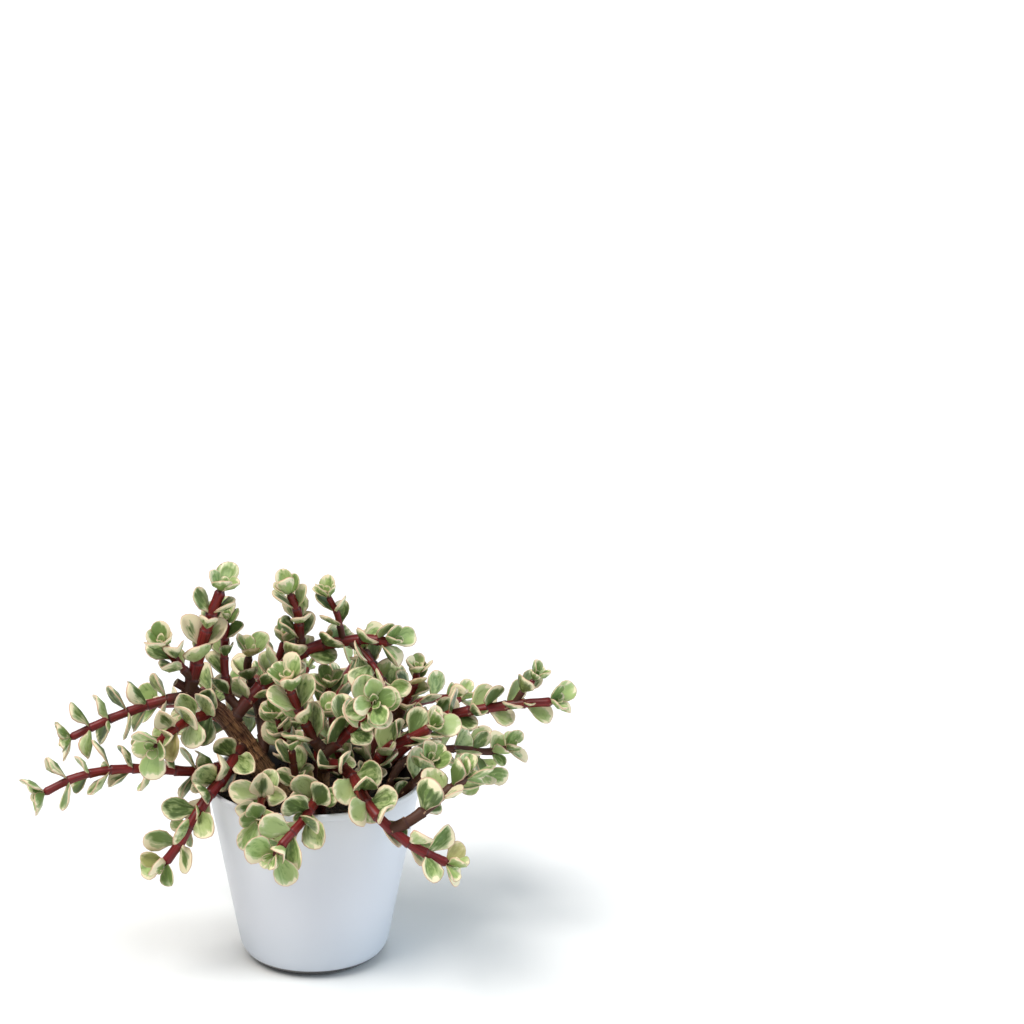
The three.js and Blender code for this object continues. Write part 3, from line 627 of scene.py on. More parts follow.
def potSide(point):
    radius, gap = math.hypot(point[0], point[1]), growth["leafGap"]
    if point[2] > pot["height"] + gap:
        return "above"
    if radius > outerRadius(point[2]) + gap:
        return "outside"
    inside = radius < outerRadius(point[2]) - pot["wall"] - gap
    return "inside" if inside and point[2] > soil["top"] + soil["relief"] + gap else "touching"


def clearOfPot(leaf):
    sides = {potSide(leafPoint(leaf, along, across, lift)) for along in growth["testAlong"]
             for across in growth["testAcross"] for lift in growth["testLift"]}
    return "touching" not in sides and not {"inside", "outside"} <= sides


def makeLeaf(place, stand, turn, spread, twist, length):
    turn, spread, twist = (math.radians(angle) for angle in (turn, spread, twist))
    light = unit(np.array(growth["light"]))
    radial = place["side"] * math.cos(turn) + place["face"] * math.sin(turn)
    along = unit(place["along"] * math.cos(spread) + radial * math.sin(spread) + light * stand["lean"])
    face = place["along"] + np.array(stand["facing"])
    face = unit(face - along * face.dot(along))
    face = face * math.cos(twist) + np.cross(along, face) * math.sin(twist)
    return {"root": place["at"], "along": along, "face": face, "across": np.cross(face, along),
            "length": length, "width": length * growth["leafWidth"]}


def leafStations(stem):
    length = stem["line"]["length"]
    stations, s = [], stem["bare"]
    while s < length - stem["gap"] * growth["tipPairGap"]:
        stations.append(s)
        s += stem["gap"]
    return stations + [length]


def hangsClear(leaf, others, own):
    blade, neck = leafBlocks(leaf)
    gap = growth["leafGap"]
    return (clearOfPot(leaf) and keepsClear(blade, others, gap) and keepsClear(neck, others, gap)
            and (not own or keepsClear(blade, packed(own), -growth["sameStemOverlap"])))


def pairTurn(stem, pair, half):
    return stem["turn"] + half + pair % 2 * stem["stand"]["pairTurn"]


def strayFrom(draw):
    def stray(swing):  # as far as the swing to either side
        return swing * (draw() * 2 - 1)
    return stray


def growLeaves(stem, others):
    draw, stand, young = randomSource(stem["seed"]), stem["stand"], growth["youngSize"]
    stray, own, stations = strayFrom(draw), [], leafStations(stem)
    for pair, s in enumerate(stations):
        last = pair == len(stations) - 1
        place = frameAt(stem["line"], s)
        age = (stem["line"]["length"] - s) / stem["line"]["length"]
        grown = stand["tipSize"] if last else young + (1 - young) * min(age / growth["youngPart"], 1)
        for half in (0, 180):
            turn = pairTurn(stem, pair, half) + stray(growth["turnSwing"])
            spread = stand["tipSpread" if last else "spread"] + stray(growth["spreadSwing"])
            twist = stray(growth["twistSwing"])
            size = stem["leaf"] * (growth["leastSize"] + growth["sizeSwing"] * draw()) * grown
            for moreTurn, moreSpread, share in leafTries:
                leaf = makeLeaf(place, stand, turn + moreTurn, spread + moreSpread, twist, size * share)
                if hangsClear(leaf, others, own):
                    stem["leaves"].append(leaf | {"s": s, "age": age})
                    own.append(leafBlocks(leaf)[0])
                    break


def grownBlocks(stem):
    return stem["blocks"] + [block for leaf in stem["leaves"] for block in leafBlocks(leaf)]


stems = [dict(zip(("name", "thick", "thin", "path"), row)) for row in woodyTable]
stems += [dict(zip(("name", "thick", "thin", "bare", "gap", "leaf", "turn", "path", "stand"), row))
          for row in leafyTable]
for number, stem in enumerate(stems):
    stem |= {"seed": growth["seedStep"] * (number + 1), "leaves": [], "line": centreLine(stem["path"])}
    stem["stand"] = usualStand | stem.get("stand", {})
    stem["blocks"] = stemBlocks(stem)
stub["line"] = centreLine(stub["path"])
stems[0]["blocks"] += stemBlocks(stub)
leafyStems = [stem for stem in stems if "bare" in stem]
for stem in leafyStems:
    growLeaves(stem, packed([block for other in stems if other is not stem for block in grownBlocks(other)]))
print("grown:", len(leafyStems), "leafy stems,", sum(len(stem["leaves"]) for stem in leafyStems), "leaves")


# leaf finish: mottled green middle, cream margin of uneven width, thin pink edge

leafFinish = {
    "dark": (0.06, 0.1, 0.024), "green": (0.15, 0.232, 0.06), "pale": (0.37, 0.45, 0.18),
    "flush": (0.52, 0.56, 0.31), "cream": (0.78, 0.69, 0.465), "edge": (0.6, 0.29, 0.2),
    "foot": (0.46, 0.48, 0.2), "fresh": (0.28, 0.42, 0.12), "speck": (0.12, 0.06, 0.03),
    "aged": (0.58, 0.4, 0.16),
    # for leaves of each tone, how far out the margin starts, and the range that a ramp holds these values in
    "marginFrom": [(0.0, 1.12), (0.3, 1.06), (0.6, 0.98), (0.8, 0.88), (0.9, 0.77), (0.96, 0.64), (1.0, 0.4)],
    "rampLow": -0.5, "rampSpan": 1.6,
    "seedSpan": 50.0, "moreDraws": (17.0, 7.3, 29.0),  # factors that make further draws of a leaf's tone
    "broad": (1.3, 1.0), "mottle": (3.6, 5.0), "streak": (1.0, 3.0),  # scale and detail of a noise
    "streakSpread": 4.0, "streakLength": 1.0, "streakFoot": 0.3,
    "broadPull": 1.7, "streakPull": 1.0, "mottlePull": 0.6, "footPull": 0.4, "sidePull": 0.8,
    "darkMottle": 0.5, "darkBroad": 0.6, "shadeSwing": 0.5, "freshShare": 0.45, "footShare": 0.7,
    "edgeLeast": 0.3, "edgeSwing": 0.8,
    # for each layer, the value at which it starts, that at which it is full, and its strength
    "fades": {
        "pale": (0.37, 0.63, 1), "dark": (0.6, 0.3, 0.85), "flush": (-0.45, 0.0, 0.8),
        "cream": (-0.07, 0.07, 1), "creamRim": (0.9, 0.97, 0.6), "aged": (0.987, 0.995, 0.5),
        "foot": (0.02, 0.24, 1), "edge": (0.92, 0.985, 1),
    },
    "specks": (420.0, 0.22, 0.02),  # scale, size and share
    "bump": (0.3, 0.0005),  # strength and depth
    "grainScale": 1500.0, "grainShare": 0.3, "rough": 0.32, "roughSwing": 0.25,
}
leafPaint, leafTree, leafShader = newMaterial("leafVariegated", {"Specular IOR Level": 0.4})
leafWhere = readValue(leafTree, "leafPlace", "Vector")
leafTone, leafUnder, leafFresh = (readValue(leafTree, key) for key in ("leafTone", "leafUnder", "leafFresh"))
leafAlong, leafAcross, leafShare = separate(leafWhere)
leafSeed = leafTone * leafFinish["seedSpan"]
leafSide, leafShade, leafAge = (maths("FRACT", leafTone * factor) for factor in leafFinish["moreDraws"])
fanned = combine(leafAcross / (leafAlong + leafFinish["streakFoot"]) * leafFinish["streakSpread"],
                 leafAlong * leafFinish["streakLength"], leafUnder)
streaks, broad, mottle = (
    patchNoise(where, leafFinish[key][0], leafSeed, leafFinish[key][1])
    for key, where in (("streak", fanned), ("broad", leafWhere), ("mottle", leafWhere)))

# how far past the start of the cream margin a point lies; the margin is wider on one side of the leaf
marginStart = colourRamp(leafTone, [(tone, ((start - leafFinish["rampLow"]) / leafFinish["rampSpan"],) * 3)
                                    for tone, start in leafFinish["marginFrom"]])
pastMargin = (leafShare + centred(broad, leafFinish["broadPull"]) + centred(streaks, leafFinish["streakPull"])
              + centred(mottle, leafFinish["mottlePull"]) + centred(leafAlong, leafFinish["footPull"])
              + leafAcross * (leafSide - 0.5) * leafFinish["sidePull"]
              - (marginStart * leafFinish["rampSpan"] + leafFinish["rampLow"]))
leafSwing = centred(leafShade, leafFinish["shadeSwing"])
darkness = streaks + centred(mottle, leafFinish["darkMottle"]) + (
    centred(broad, leafFinish["darkBroad"]) + leafSwing)
creamMask = maths("MAXIMUM", fade(leafFinish, "cream", pastMargin), fade(leafFinish, "creamRim", leafShare))
edgeShare = maths("ADD", broad * leafFinish["edgeSwing"], leafFinish["edgeLeast"], True)
leafGreen = mixColours(fade(leafFinish, "pale", mottle + leafSwing), leafFinish["green"], leafFinish["pale"])
leafColour = layered(leafGreen, leafFinish, [
    ("dark", fade(leafFinish, "dark", darkness)),
    ("fresh", leafFresh * leafFinish["freshShare"]),
    ("flush", fade(leafFinish, "flush", pastMargin)),
    ("cream", creamMask),
    ("aged", fade(leafFinish, "aged", leafAge)),
    ("foot", maths("SUBTRACT", leafFinish["footShare"], fade(leafFinish, "foot", leafAlong), True)),
    ("edge", fade(leafFinish, "edge", leafShare) * edgeShare),
    ("speck", speckMask(objectPlace(leafTree), *leafFinish["specks"]))])
leafGrain = patchNoise(objectPlace(leafTree), leafFinish["grainScale"]) * leafFinish["grainShare"] + mottle
finishWith(leafShader, leafFinish, leafColour, mottle * leafFinish["roughSwing"] + leafFinish["rough"],
           leafGrain)


# stem finish: deep red where it is young, brown towards its foot, with a ring at each pair of leaves

stemFinish = {
    "young": (0.2, 0.013, 0.013), "middle": (0.105, 0.007, 0.008), "old": (0.068, 0.023, 0.012),
    "ring": (0.05, 0.012, 0.012), "scar": (0.42, 0.24, 0.13), "dot": (0.3, 0.11, 0.08),
    "fibreAround": 3.0, "fibreAlong": 0.6, "fibreScale": 1.6, "fibreDetail": 4.0,
    "ageScale": 120.0, "ageSwing": 0.8, "scarShare": 0.75,
    "fades": {
        "young": (0.35, 0.65, 1), "old": (0.1, 0.6, 1), "ring": (0.72, 0.95, 0.7),
        "scarAcross": (0.94, 0.985, 1), "scarAlong": (0.5, 0.7, 1), "scarAge": (0.05, 0.25, 1),
    },
    "specks": (650.0, 0.2, 0.05), "bump": (0.35, 0.0004),
    "rough": 0.22, "roughFibres": 0.35, "roughAge": 0.25,
}
stemPaint, stemTree, stemShader = newMaterial("stemRed", {"Specular IOR Level": 0.35})
stemPlace = objectPlace(stemTree)
stemSpan, stemRing, stemOld = separate(readValue(stemTree, "stemPlace", "Vector"))
aroundX, aroundY = separate(readValue(stemTree, "around", "Vector"))[:2]
fibres = patchNoise(
    combine(aroundX * stemFinish["fibreAround"], aroundY * stemFinish["fibreAround"],
            stemSpan * stemFinish["fibreAlong"]), stemFinish["fibreScale"], detail=stemFinish["fibreDetail"])
stemAge = stemOld + centred(patchNoise(stemPlace, stemFinish["ageScale"]), stemFinish["ageSwing"])
# leaf scars lie on two sides of a ring, and turn by a quarter from each ring to the next
oddSpan = maths("GREATER_THAN", maths("FRACT", (stemSpan + 0.5) * 0.5), 0.5)
scarTurn = addNode("ShaderNodeMix", {"Factor": oddSpan, "A": aroundX, "B": aroundY}, {"data_type": "FLOAT"})
scars = fade(stemFinish, "scarAcross", maths("ABSOLUTE", scarTurn)) * (
    fade(stemFinish, "scarAlong", stemRing) * fade(stemFinish, "scarAge", stemOld))
stemRed = mixColours(fade(stemFinish, "young", fibres), stemFinish["middle"], stemFinish["young"])
stemColour = layered(stemRed, stemFinish, [
    ("old", fade(stemFinish, "old", stemAge)),
    ("ring", fade(stemFinish, "ring", stemRing)),
    ("scar", scars * stemFinish["scarShare"]),
    ("dot", speckMask(stemPlace, *stemFinish["specks"]))])
stemRough = fibres * stemFinish["roughFibres"] + stemAge * stemFinish["roughAge"] + stemFinish["rough"]
finishWith(stemShader, stemFinish, stemColour, stemRough, fibres)


# one leaf of unit length, lying along x with its face up: mesh code gives its outline, cup and thickness

leafShape = {
    "turns": [0, 20, 40, 61, 82, 104, 128, 153, 180], "centre": 0.6,
    "rings": [(0.55, 0), (0.9, 0), (1.0, 0.35), (0.84, 1)],  # share of the way out, 0 face to 1 underside
    "neck": 0.58, "neckSpan": (0.05, 0.85), "middleLift": 0.008, "edgeLift": 0.062, "liftPower": 2.2,
    "liftSpan": (0.2, 0.7), "edgeDrop": 0.014, "thick": 0.13, "thinning": 0.92, "footThick": 0.4,
    "thickSpan": (0.05, 0.45), "kinds": [  # name, width, fold
        ("leafRound", 1.05, 0.0), ("leafCommon", 0.98, 0.05), ("leafNarrow", 0.88, 0.1),
        ("leafFolded", 0.82, 0.2),
    ],
}


def ease(value, low, high):
    t = min(max((value - low) / (high - low), 0), 1)
    return t * t * (3 - 2 * t)


def leafMesh(name, width, fold):
    shape = leafShape
    turns = shape["turns"] + [-turn for turn in shape["turns"][-2:0:-1]]
    points, places, unders = [], [], []

    def addPoint(share, under, turn):
        x, y = math.cos(math.radians(turn)), math.sin(math.radians(turn))
        along = shape["centre"] + share * x * ((1 - shape["centre"]) if x > 0 else shape["centre"])
        across = share * y * (1 - shape["neck"] * ease(-x, *shape["neckSpan"]) * share)
        lift = shape["edgeLift"] * ease(along, *shape["liftSpan"]) * share**shape["liftPower"]
        lift += shape["middleLift"] * (1 - share**2) + fold * abs(across)
        lift -= shape["edgeDrop"] if share == 1 else 0
        thick = shape["footThick"] + (1 - shape["footThick"]) * ease(along, *shape["thickSpan"])
        lift -= under * thick * shape["thick"] * math.sqrt(1 - shape["thinning"] * share**2)
        points.append((along, across / 2 * growth["leafWidth"] * width, lift))
        places.append((along, across, share))
        unders.append(under)
    addPoint(0, 0, 0)
    for share, under in shape["rings"]:
        for turn in turns:
            addPoint(share, under, turn)
    addPoint(0, 1, 0)
    n, last = len(turns), len(points) - 1
    faces = [(0, 1 + k, 1 + (k + 1) % n) for k in range(n)]
    for a in range(1, 1 + n * (len(shape["rings"]) - 1), n):
        faces += [(a + k, a + n + k, a + n + (k + 1) % n, a + (k + 1) % n) for k in range(n)]
    faces += [(last, last - n + (k + 1) % n, last - n + k) for k in range(n)]
    return newMesh(name, points, [], faces, {"leafPlace": places, "leafUnder": unders})


leafKinds = bpy.data.collections.new("leafKinds")
for kindName, width, fold in leafShape["kinds"]:
    leafKinds.objects.link(leafMesh(kindName, width, fold))


# a leafy stem: a tube along its line that widens up to each pair of leaves, and a leaf on each point

leafyStem = {
    "inputs": {
        "Stem sides": 12, "Pair swelling": 0.2, "Unevenness": 0.00012, "Uneven scale": 300.0,
        "Leaf bend": 0.2, "Leaf curl": 0.12, "Edge wave": 0.1, "Wave scale": 160.0,
        "Kinds of leaf": len(leafShape["kinds"]),
    },
    "spanRest": 0.4, "bendRest": 0.6, "curlRest": 0.3,  # values that leave the width, bend and curl alone
    "spanProfile": [(0.12, 0.1), (0.55, 0.22), (0.85, 0.62)],  # how a span widens from its foot to its head
    "step": 1.3, "fullness": 1.1, "flare": 0.22, "flareLength": 3.0, "tipRound": 1.5,
    "tipRings": [(0.25, 0.7), (0.6, 0.56), (0.9, 0.38), (1.1, 0.2), (1.18, 0.08)],  # height, share of radius
    "barePairs": 8, "barePairsFrom": 4, "footAge": 0.8, "freshLength": 1 / 3,
}
stemGrower, grow, grown = newGroup("leafyStemGrower", "GeometryNodeTree", [
    ("Line and leaf points", "Geometry"), ("Leaf kinds", "Collection"), ("Stem material", "Material"),
    ("Leaf material", "Material"), ("Seed", "Int", 1), *numberSockets(leafyStem["inputs"])],
    [("Geometry", "Geometry")])
leafSize = namedValue(stemGrower, "leafSize")
leafPoints = addNode("GeometryNodeSeparateGeometry", {
    "Geometry": grow["Line and leaf points"], "Selection": maths("GREATER_THAN", leafSize, 0.0)})
linePoints = Field(leafPoints.node.outputs["Inverted"])
spanWidth = addNode("ShaderNodeFloatCurve", {"Value": namedValue(stemGrower, "inSpan")})
for x, y in leafyStem["spanProfile"]:
    spanWidth.node.mapping.curves[0].points.new(x, y)
spanWidth.node.mapping.update()
thickness = namedValue(stemGrower, "stemRadius") * (
    (spanWidth - leafyStem["spanRest"]) * grow["Pair swelling"] + 1.0)
tubeNoise = addNode("ShaderNodeTexNoise", {"Scale": grow["Uneven scale"]})
tube = moved(tubeAlong(linePoints, grow["Stem sides"], thickness), centred(tubeNoise, grow["Unevenness"]))
# the leaves: every point gets one of the kinds and its own tone, bend and curl
for offset, key in enumerate(("leafTone", "leafBend", "leafCurl")):
    leafPoints = storeValue(leafPoints, key, randomValue(grow["Seed"] + float(offset)))
leafKind = randomValue(grow["Seed"] + 3.0, "INT", {"Min": 0, "Max": grow["Kinds of leaf"] - 1.0})
leafFace = namedValue(stemGrower, "leafFace", "FLOAT_VECTOR")
leafTurn = addNode("FunctionNodeAxesToRotation", {
    "Primary Axis": leafFace, "Secondary Axis": namedValue(stemGrower, "leafAlong", "FLOAT_VECTOR")},
    {"primary_axis": "Z", "secondary_axis": "X"})
leaves = shapesOn(leafPoints, grow["Leaf kinds"], leafKind, leafTurn, leafSize)
bend, curl, wave = (part * part for part in separate(namedValue(stemGrower, "leafPlace", "FLOAT_VECTOR")))
waveNoise = addNode("ShaderNodeTexNoise", {"Scale": grow["Wave scale"], "Detail": 0.0})
bend *= grow["Leaf bend"] * (namedValue(stemGrower, "leafBend") - leafyStem["bendRest"])
curl *= grow["Leaf curl"] * (namedValue(stemGrower, "leafCurl") - leafyStem["curlRest"])
wave *= grow["Edge wave"] * (waveNoise - 0.5)
leaves = moved(leaves, leafSize * (bend + (curl + wave)), leafFace)
link(joinedParts(smoothAndPainted(leaves, grow["Leaf material"]),
                 smoothAndPainted(tube, grow["Stem material"])), grown["Geometry"])

# rows of points along a stem: how close they come to a pair of leaves, and how long the ring at a pair is
stemRows = {"beforePair": 0.15, "afterPair": 0.3, "ringLength": 2.2, "leastSteps": 3, "leastRest": 0.5,
            "tipThin": 0.55, "tipSpan": 0.4}


def lineSamples(line, nodes, step):
    # how far along the line, share of the span, the same with the span's number, and nearness to a pair
    rest = line["length"] - nodes[-1] > stemRows["leastRest"]
    edges, samples = [0.0, *nodes] + [line["length"]] * rest, []
    for number, (low, high) in enumerate(zip(edges, edges[1:])):
        count = max(int((high - low) / step), stemRows["leastSteps"])
        first, last = low + stemRows["afterPair"], high - stemRows["beforePair"]
        for share in (k / count for k in range(count + 1)):
            s = first + (last - first) * share
            ring = max(1 - min(s - low, high - s) / stemRows["ringLength"], 0)
            samples.append((s, share, number + share, ring))
    return samples


def tubePoints(stem, nodes, settings, oldness):
    # rows of place, radius, share of the span, and span number with nearness to a ring and age
    rows, line, end = [], stem["line"], stem["line"]["length"]
    for s, inSpan, span, ring in lineSamples(line, nodes, settings["step"]):
        flare = 1 + settings["flare"] * math.exp(-s / settings["flareLength"])
        left = min(max(end - s, 0) / settings["tipRound"], 1)
        rounding = math.sqrt(max(1 - (1 - left)**2, stemRows["tipThin"]))
        radius = radiusAt(stem, s) * settings["fullness"] * flare * rounding
        rows.append((frameAt(line, s)["at"] * mm, radius * mm, inSpan, (span, ring, oldness(s))))
    tip = frameAt(line, end)
    for height, share in settings["tipRings"]:  # a rounded end, from which the last leaves spread
        rows.append(((tip["at"] + tip["along"] * height * stem["thin"]) * mm, share * stem["thin"] * mm,
                     stemRows["tipSpan"], (*rows[-1][3][:2], oldness(end))))
    return rows


# small leaves that are finer than the solids: at the tips, in some of the leaf pairs, and on the old wood

smallLeaves = {
    "room": 0.2, "ownOverlap": 0.8,
    "tip": {"seed": 17, "pairs": [(0.7, 56, -0.3), (0.4, 34, 0.9), (0.18, 14, 1.7)],  # size, spread, height
            "turnSwing": 10, "spreadSwing": 4, "twistSwing": 10},
    "axil": {"seed": 31, "share": 0.42, "least": 0.42, "swing": 0.25, "spread": 62, "turnSwing": 30,
             "spreadSwing": 12, "twistSwing": 25, "age": 0.2},
    "low": {"seed": 53, "least": 0.66, "swing": 0.25, "spread": 66, "turnSwing": 25, "spreadSwing": 12,
            "twistSwing": 25, "age": 0.4, "from": 9, "room": -0.3},
}


def hasRoom(leaf, others, own, room):
    blade = leafBlocks(leaf)[0]
    return (clearOfPot(leaf) and keepsClear(blade, others, room)
            and (not own or keepsClear(blade, packed(own), -smallLeaves["ownOverlap"])))


def tipLeaves(stem, others):  # the small pairs in the middle of each tip
    kind, stand, tip = smallLeaves["tip"], stem["stand"], frameAt(stem["line"], stem["line"]["length"])
    stray, pairs = strayFrom(randomSource(stem["seed"] + kind["seed"])), len(leafStations(stem))
    for number, (size, spread, height) in enumerate(kind["pairs"]):
        place = tip | {"at": tip["at"] + tip["along"] * height}
        for half in (0, 180):
            turn = pairTurn(stem, pairs + 1, half) + 90 * (number + 1) + stray(kind["turnSwing"])
            leaf = makeLeaf(place, stand, turn, spread + stray(kind["spreadSwing"]),
                            stray(kind["twistSwing"]), stem["leaf"] * size)
            if hasRoom(leaf, others, [], smallLeaves["room"]):
                yield leaf


def axilLeaves(stem, others):  # a small pair starts again in some of the leaf pairs, turned across it
    kind, draw = smallLeaves["axil"], randomSource(stem["seed"] + smallLeaves["axil"]["seed"])
    stray, own = strayFrom(draw), [leafBlocks(leaf)[0] for leaf in stem["leaves"]]
    for pair, s in enumerate(leafStations(stem)[:-1]):
        chance, size = draw(), kind["least"] + kind["swing"] * draw()
        for half in (0, 180):
            turn = pairTurn(stem, pair, half) + 90 + stray(kind["turnSwing"])
            spread, twist = kind["spread"] + stray(kind["spreadSwing"]), stray(kind["twistSwing"])
            leaf = makeLeaf(frameAt(stem["line"], s), stem["stand"], turn, spread, twist, stem["leaf"] * size)
            if chance <= kind["share"] and hasRoom(leaf, others, own, smallLeaves["room"]):
                own.append(leafBlocks(leaf)[0])
                yield leaf | {"age": kind["age"]}


def lowLeaves(stem, nodes, others, lowBlades):  # leaves left on the old wood in the middle of the plant
    kind, draw = smallLeaves["low"], randomSource(stem["seed"] + smallLeaves["low"]["seed"])
    stray, own = strayFrom(draw), [leafBlocks(leaf)[0] for leaf in stem["leaves"]]
    for pair, s in enumerate(node for node in nodes if kind["from"] < node < stem["bare"] - 1):
        for half in (0, 180):
            turn = pairTurn(stem, pair, half) + stray(kind["turnSwing"])
            spread, twist = kind["spread"] + stray(kind["spreadSwing"]), stray(kind["twistSwing"])
            size = stem["leaf"] * (kind["least"] + kind["swing"] * draw())
            for moreTurn, moreSpread, share in leafTries:
                leaf = makeLeaf(frameAt(stem["line"], s), stem["stand"], turn + moreTurn, spread + moreSpread,
                                twist, size * share)
                if hasRoom(leaf, others, own + lowBlades, kind["room"]):
                    lowBlades.append(leafBlocks(leaf)[0])
                    yield leaf | {"age": kind["age"]}
                    break


def pieceName(name):
    return "".join(word.title() if k else word for k, word in enumerate(name.split("_")))


leafyBelow = ["shoot_mid_right", "branch_far_right", "branch_right_behind", "shoot_right", "shoot_centre",
              "shoot_inner_left", "shoot_inner_right", "shoot_inner_back", "shoot_low_right",
              "rear_branch_left", "rear_branch_back_left", "rear_branch_back", "rear_branch_hanging",
              "rear_branch_right"]
stemAges = {"twig_low_right": 0.5, "shoot_low_right": 0.75, "shoot_upright": 0.5, "shoot_right": 0.4,
            "branch_right_behind": 0.5, "shoot_centre": 0.4, "branch_far_right": 0.2}
materials = {"Leaf kinds": leafKinds, "Stem material": stemPaint, "Leaf material": leafPaint}
blocksOf = {stem["name"]: grownBlocks(stem) for stem in stems}
leafTotal, lowBlades = 0, []
for stem in leafyStems:
    bare, gap, aged = stem["bare"], stem["gap"], stemAges.get(stem["name"], 0)
    below = [bare - gap * (k + 1) for k in range(leafyStem["barePairs"])]
    nodes = sorted([s for s in below if s > leafyStem["barePairsFrom"]] + leafStations(stem))
    rows = tubePoints(stem, nodes, leafyStem,
                      lambda s: max(1 - s / (bare + gap), 0) * leafyStem["footAge"] + aged)
    others = packed([b for name, blocks in blocksOf.items() if name != stem["name"] for b in blocks])
    leaves = stem["leaves"] + list(tipLeaves(stem, others)) + list(axilLeaves(stem, others))
    if stem["name"] in leafyBelow:
        leaves += list(lowLeaves(stem, nodes, others, lowBlades))
    leafTotal += len(leaves)
    at, radii, inSpans, places = (list(column) for column in zip(*rows))
    count, zeros, nowhere, fresh = len(rows), [0] * len(leaves), [(0, 0, 0)], leafyStem["freshLength"]
    piece = newMesh(pieceName(stem["name"]), at + [leaf["root"] * mm for leaf in leaves],
                    [(k, k + 1) for k in range(count - 1)], [], {
        "stemRadius": radii + zeros, "inSpan": inSpans + zeros, "stemPlace": places + nowhere * len(leaves),
        "leafSize": [0] * count + [leaf["length"] * mm for leaf in leaves],
        "leafFresh": [0] * count + [max(1 - leaf.get("age", 0) / fresh, 0) for leaf in leaves],
        "leafFace": nowhere * count + [leaf["face"] for leaf in leaves],
        "leafAlong": nowhere * count + [leaf["along"] for leaf in leaves]})
    grownMesh(piece, stemGrower, leafyStem["inputs"] | materials | {"Seed": stem["seed"]},
              ("stemPlace", "around", "leafPlace", "leafTone", "leafUnder", "leafFresh"))
    placePiece(piece, stem["name"])
dropShapes(leafKinds)
print("leafy stems ready:", len(leafyStems), "pieces with", leafTotal, "leaves")


# bark: brown, furrowed lengthwise, redder towards its young end

barkFinish = {
    "deep": (0.028, 0.011, 0.006), "brown": (0.16, 0.068, 0.03), "pale": (0.4, 0.2, 0.09),
    "red": (0.07, 0.012, 0.011), "olive": (0.15, 0.1, 0.038), "flake": (0.34, 0.19, 0.1),
    "cut": (0.42, 0.3, 0.2), "pith": (0.12, 0.07, 0.04), "dot": (0.36, 0.25, 0.17),
    "furrowAround": 5.0, "furrowAlong": 1.1, "furrowDetail": 6.0, "furrowBrown": 0.35,
    # for each kind of patch, its scale, the noise at which it starts and that at which it is full
    "furrows": (1.5, 0.3, 0.66), "flakes": (210.0, 0.58, 0.66), "redPatches": (120.0, 0.5, 0.7),
    "deepPatches": (90.0, 0.42, 0.62), "flakeStretch": (1.0, 1.0, 2.2),
    "flakeShare": 0.45, "redPatchShare": 0.4, "redShare": 0.85, "deepShare": 0.3,
    "fades": {
        "red": (0.55, 0.98, 1), "olive": (0.5, 0.2, 0.6), "ring": (0.7, 1.0, 0.5), "cut": (0.2, 0.45, 1),
        "pith": (0.7, 0.9, 1),
    },
    "specks": (420.0, 0.28, 0.12), "bump": (0.8, 0.0008), "rough": 0.85, "furrowShine": 0.25,
}
barkPaint, barkTree, barkShader = newMaterial("bark", {"Specular IOR Level": 0.3})
barkPlace = objectPlace(barkTree)
barkSpan, barkRing, barkYoung = separate(readValue(barkTree, "stemPlace", "Vector"))
aroundX, aroundY = separate(readValue(barkTree, "around", "Vector"))[:2]
cutWhere = readValue(barkTree, "cutFace")
furrows = patchMask(
    combine(aroundX * barkFinish["furrowAround"], aroundY * barkFinish["furrowAround"],
            barkSpan * barkFinish["furrowAlong"]), *barkFinish["furrows"], detail=barkFinish["furrowDetail"])
flakes = patchMask(vectorMaths("MULTIPLY", barkPlace, barkFinish["flakeStretch"]), *barkFinish["flakes"])
barkRed = maths("ADD", fade(barkFinish, "red", barkYoung),
                patchMask(barkPlace, *barkFinish["redPatches"]) * barkFinish["redPatchShare"], True)
barkBrown = colourRamp(furrows, [
    (0.0, barkFinish["deep"]), (barkFinish["furrowBrown"], barkFinish["brown"]), (1.0, barkFinish["pale"])])
barkColour = layered(barkBrown, barkFinish, [
    ("olive", fade(barkFinish, "olive", barkYoung)),
    ("deep", patchMask(barkPlace, *barkFinish["deepPatches"]) * barkFinish["deepShare"]),
    ("flake", flakes * barkFinish["flakeShare"]),
    ("red", barkRed * barkFinish["redShare"]),
    ("deep", fade(barkFinish, "ring", barkRing)),
    ("dot", speckMask(barkPlace, *barkFinish["specks"])),
    ("cut", fade(barkFinish, "cut", cutWhere)),
    ("pith", fade(barkFinish, "pith", cutWhere))])
finishWith(barkShader, barkFinish, barkColour, barkFinish["rough"] - furrows * barkFinish["furrowShine"],
           furrows)


# woody stems: the same kind of tube with furrows and collars in its shape, and the stub of a cut branch

woodyStem = {
    "inputs": {"Sides": 30, "Furrow depth": 0.8, "Furrow scale": 1.5, "Furrow length": 90.0, "Collar": 0.1},
    "furrowAround": 2.2, "furrowDetail": 3.0, "furrowShare": 0.4, "collarPower": 3.0,
    "span": 8.5, "leastSpan": 2, "step": 0.8, "fullness": 1.0, "flare": 0.12, "flareLength": 6.0,
    "tipRound": 0.4, "tipRings": [], "stubAge": 0.9,
    "cutRings": [  # height, share of the radius, how far in towards the pith
        (0.1, 0.98, 0.1), (0.22, 0.86, 0.5), (0.24, 0.55, 0.6), (0.25, 0.3, 0.8), (0.26, 0.08, 1.0),
    ],
}
barkGrower, grow, grown = newGroup("woodyStemGrower", "GeometryNodeTree", [
    ("Lines", "Geometry"), ("Bark material", "Material"), ("Seed", "Float", 0.0),
    *numberSockets(woodyStem["inputs"])], [("Geometry", "Geometry")])
stemRadius = namedValue(barkGrower, "stemRadius")
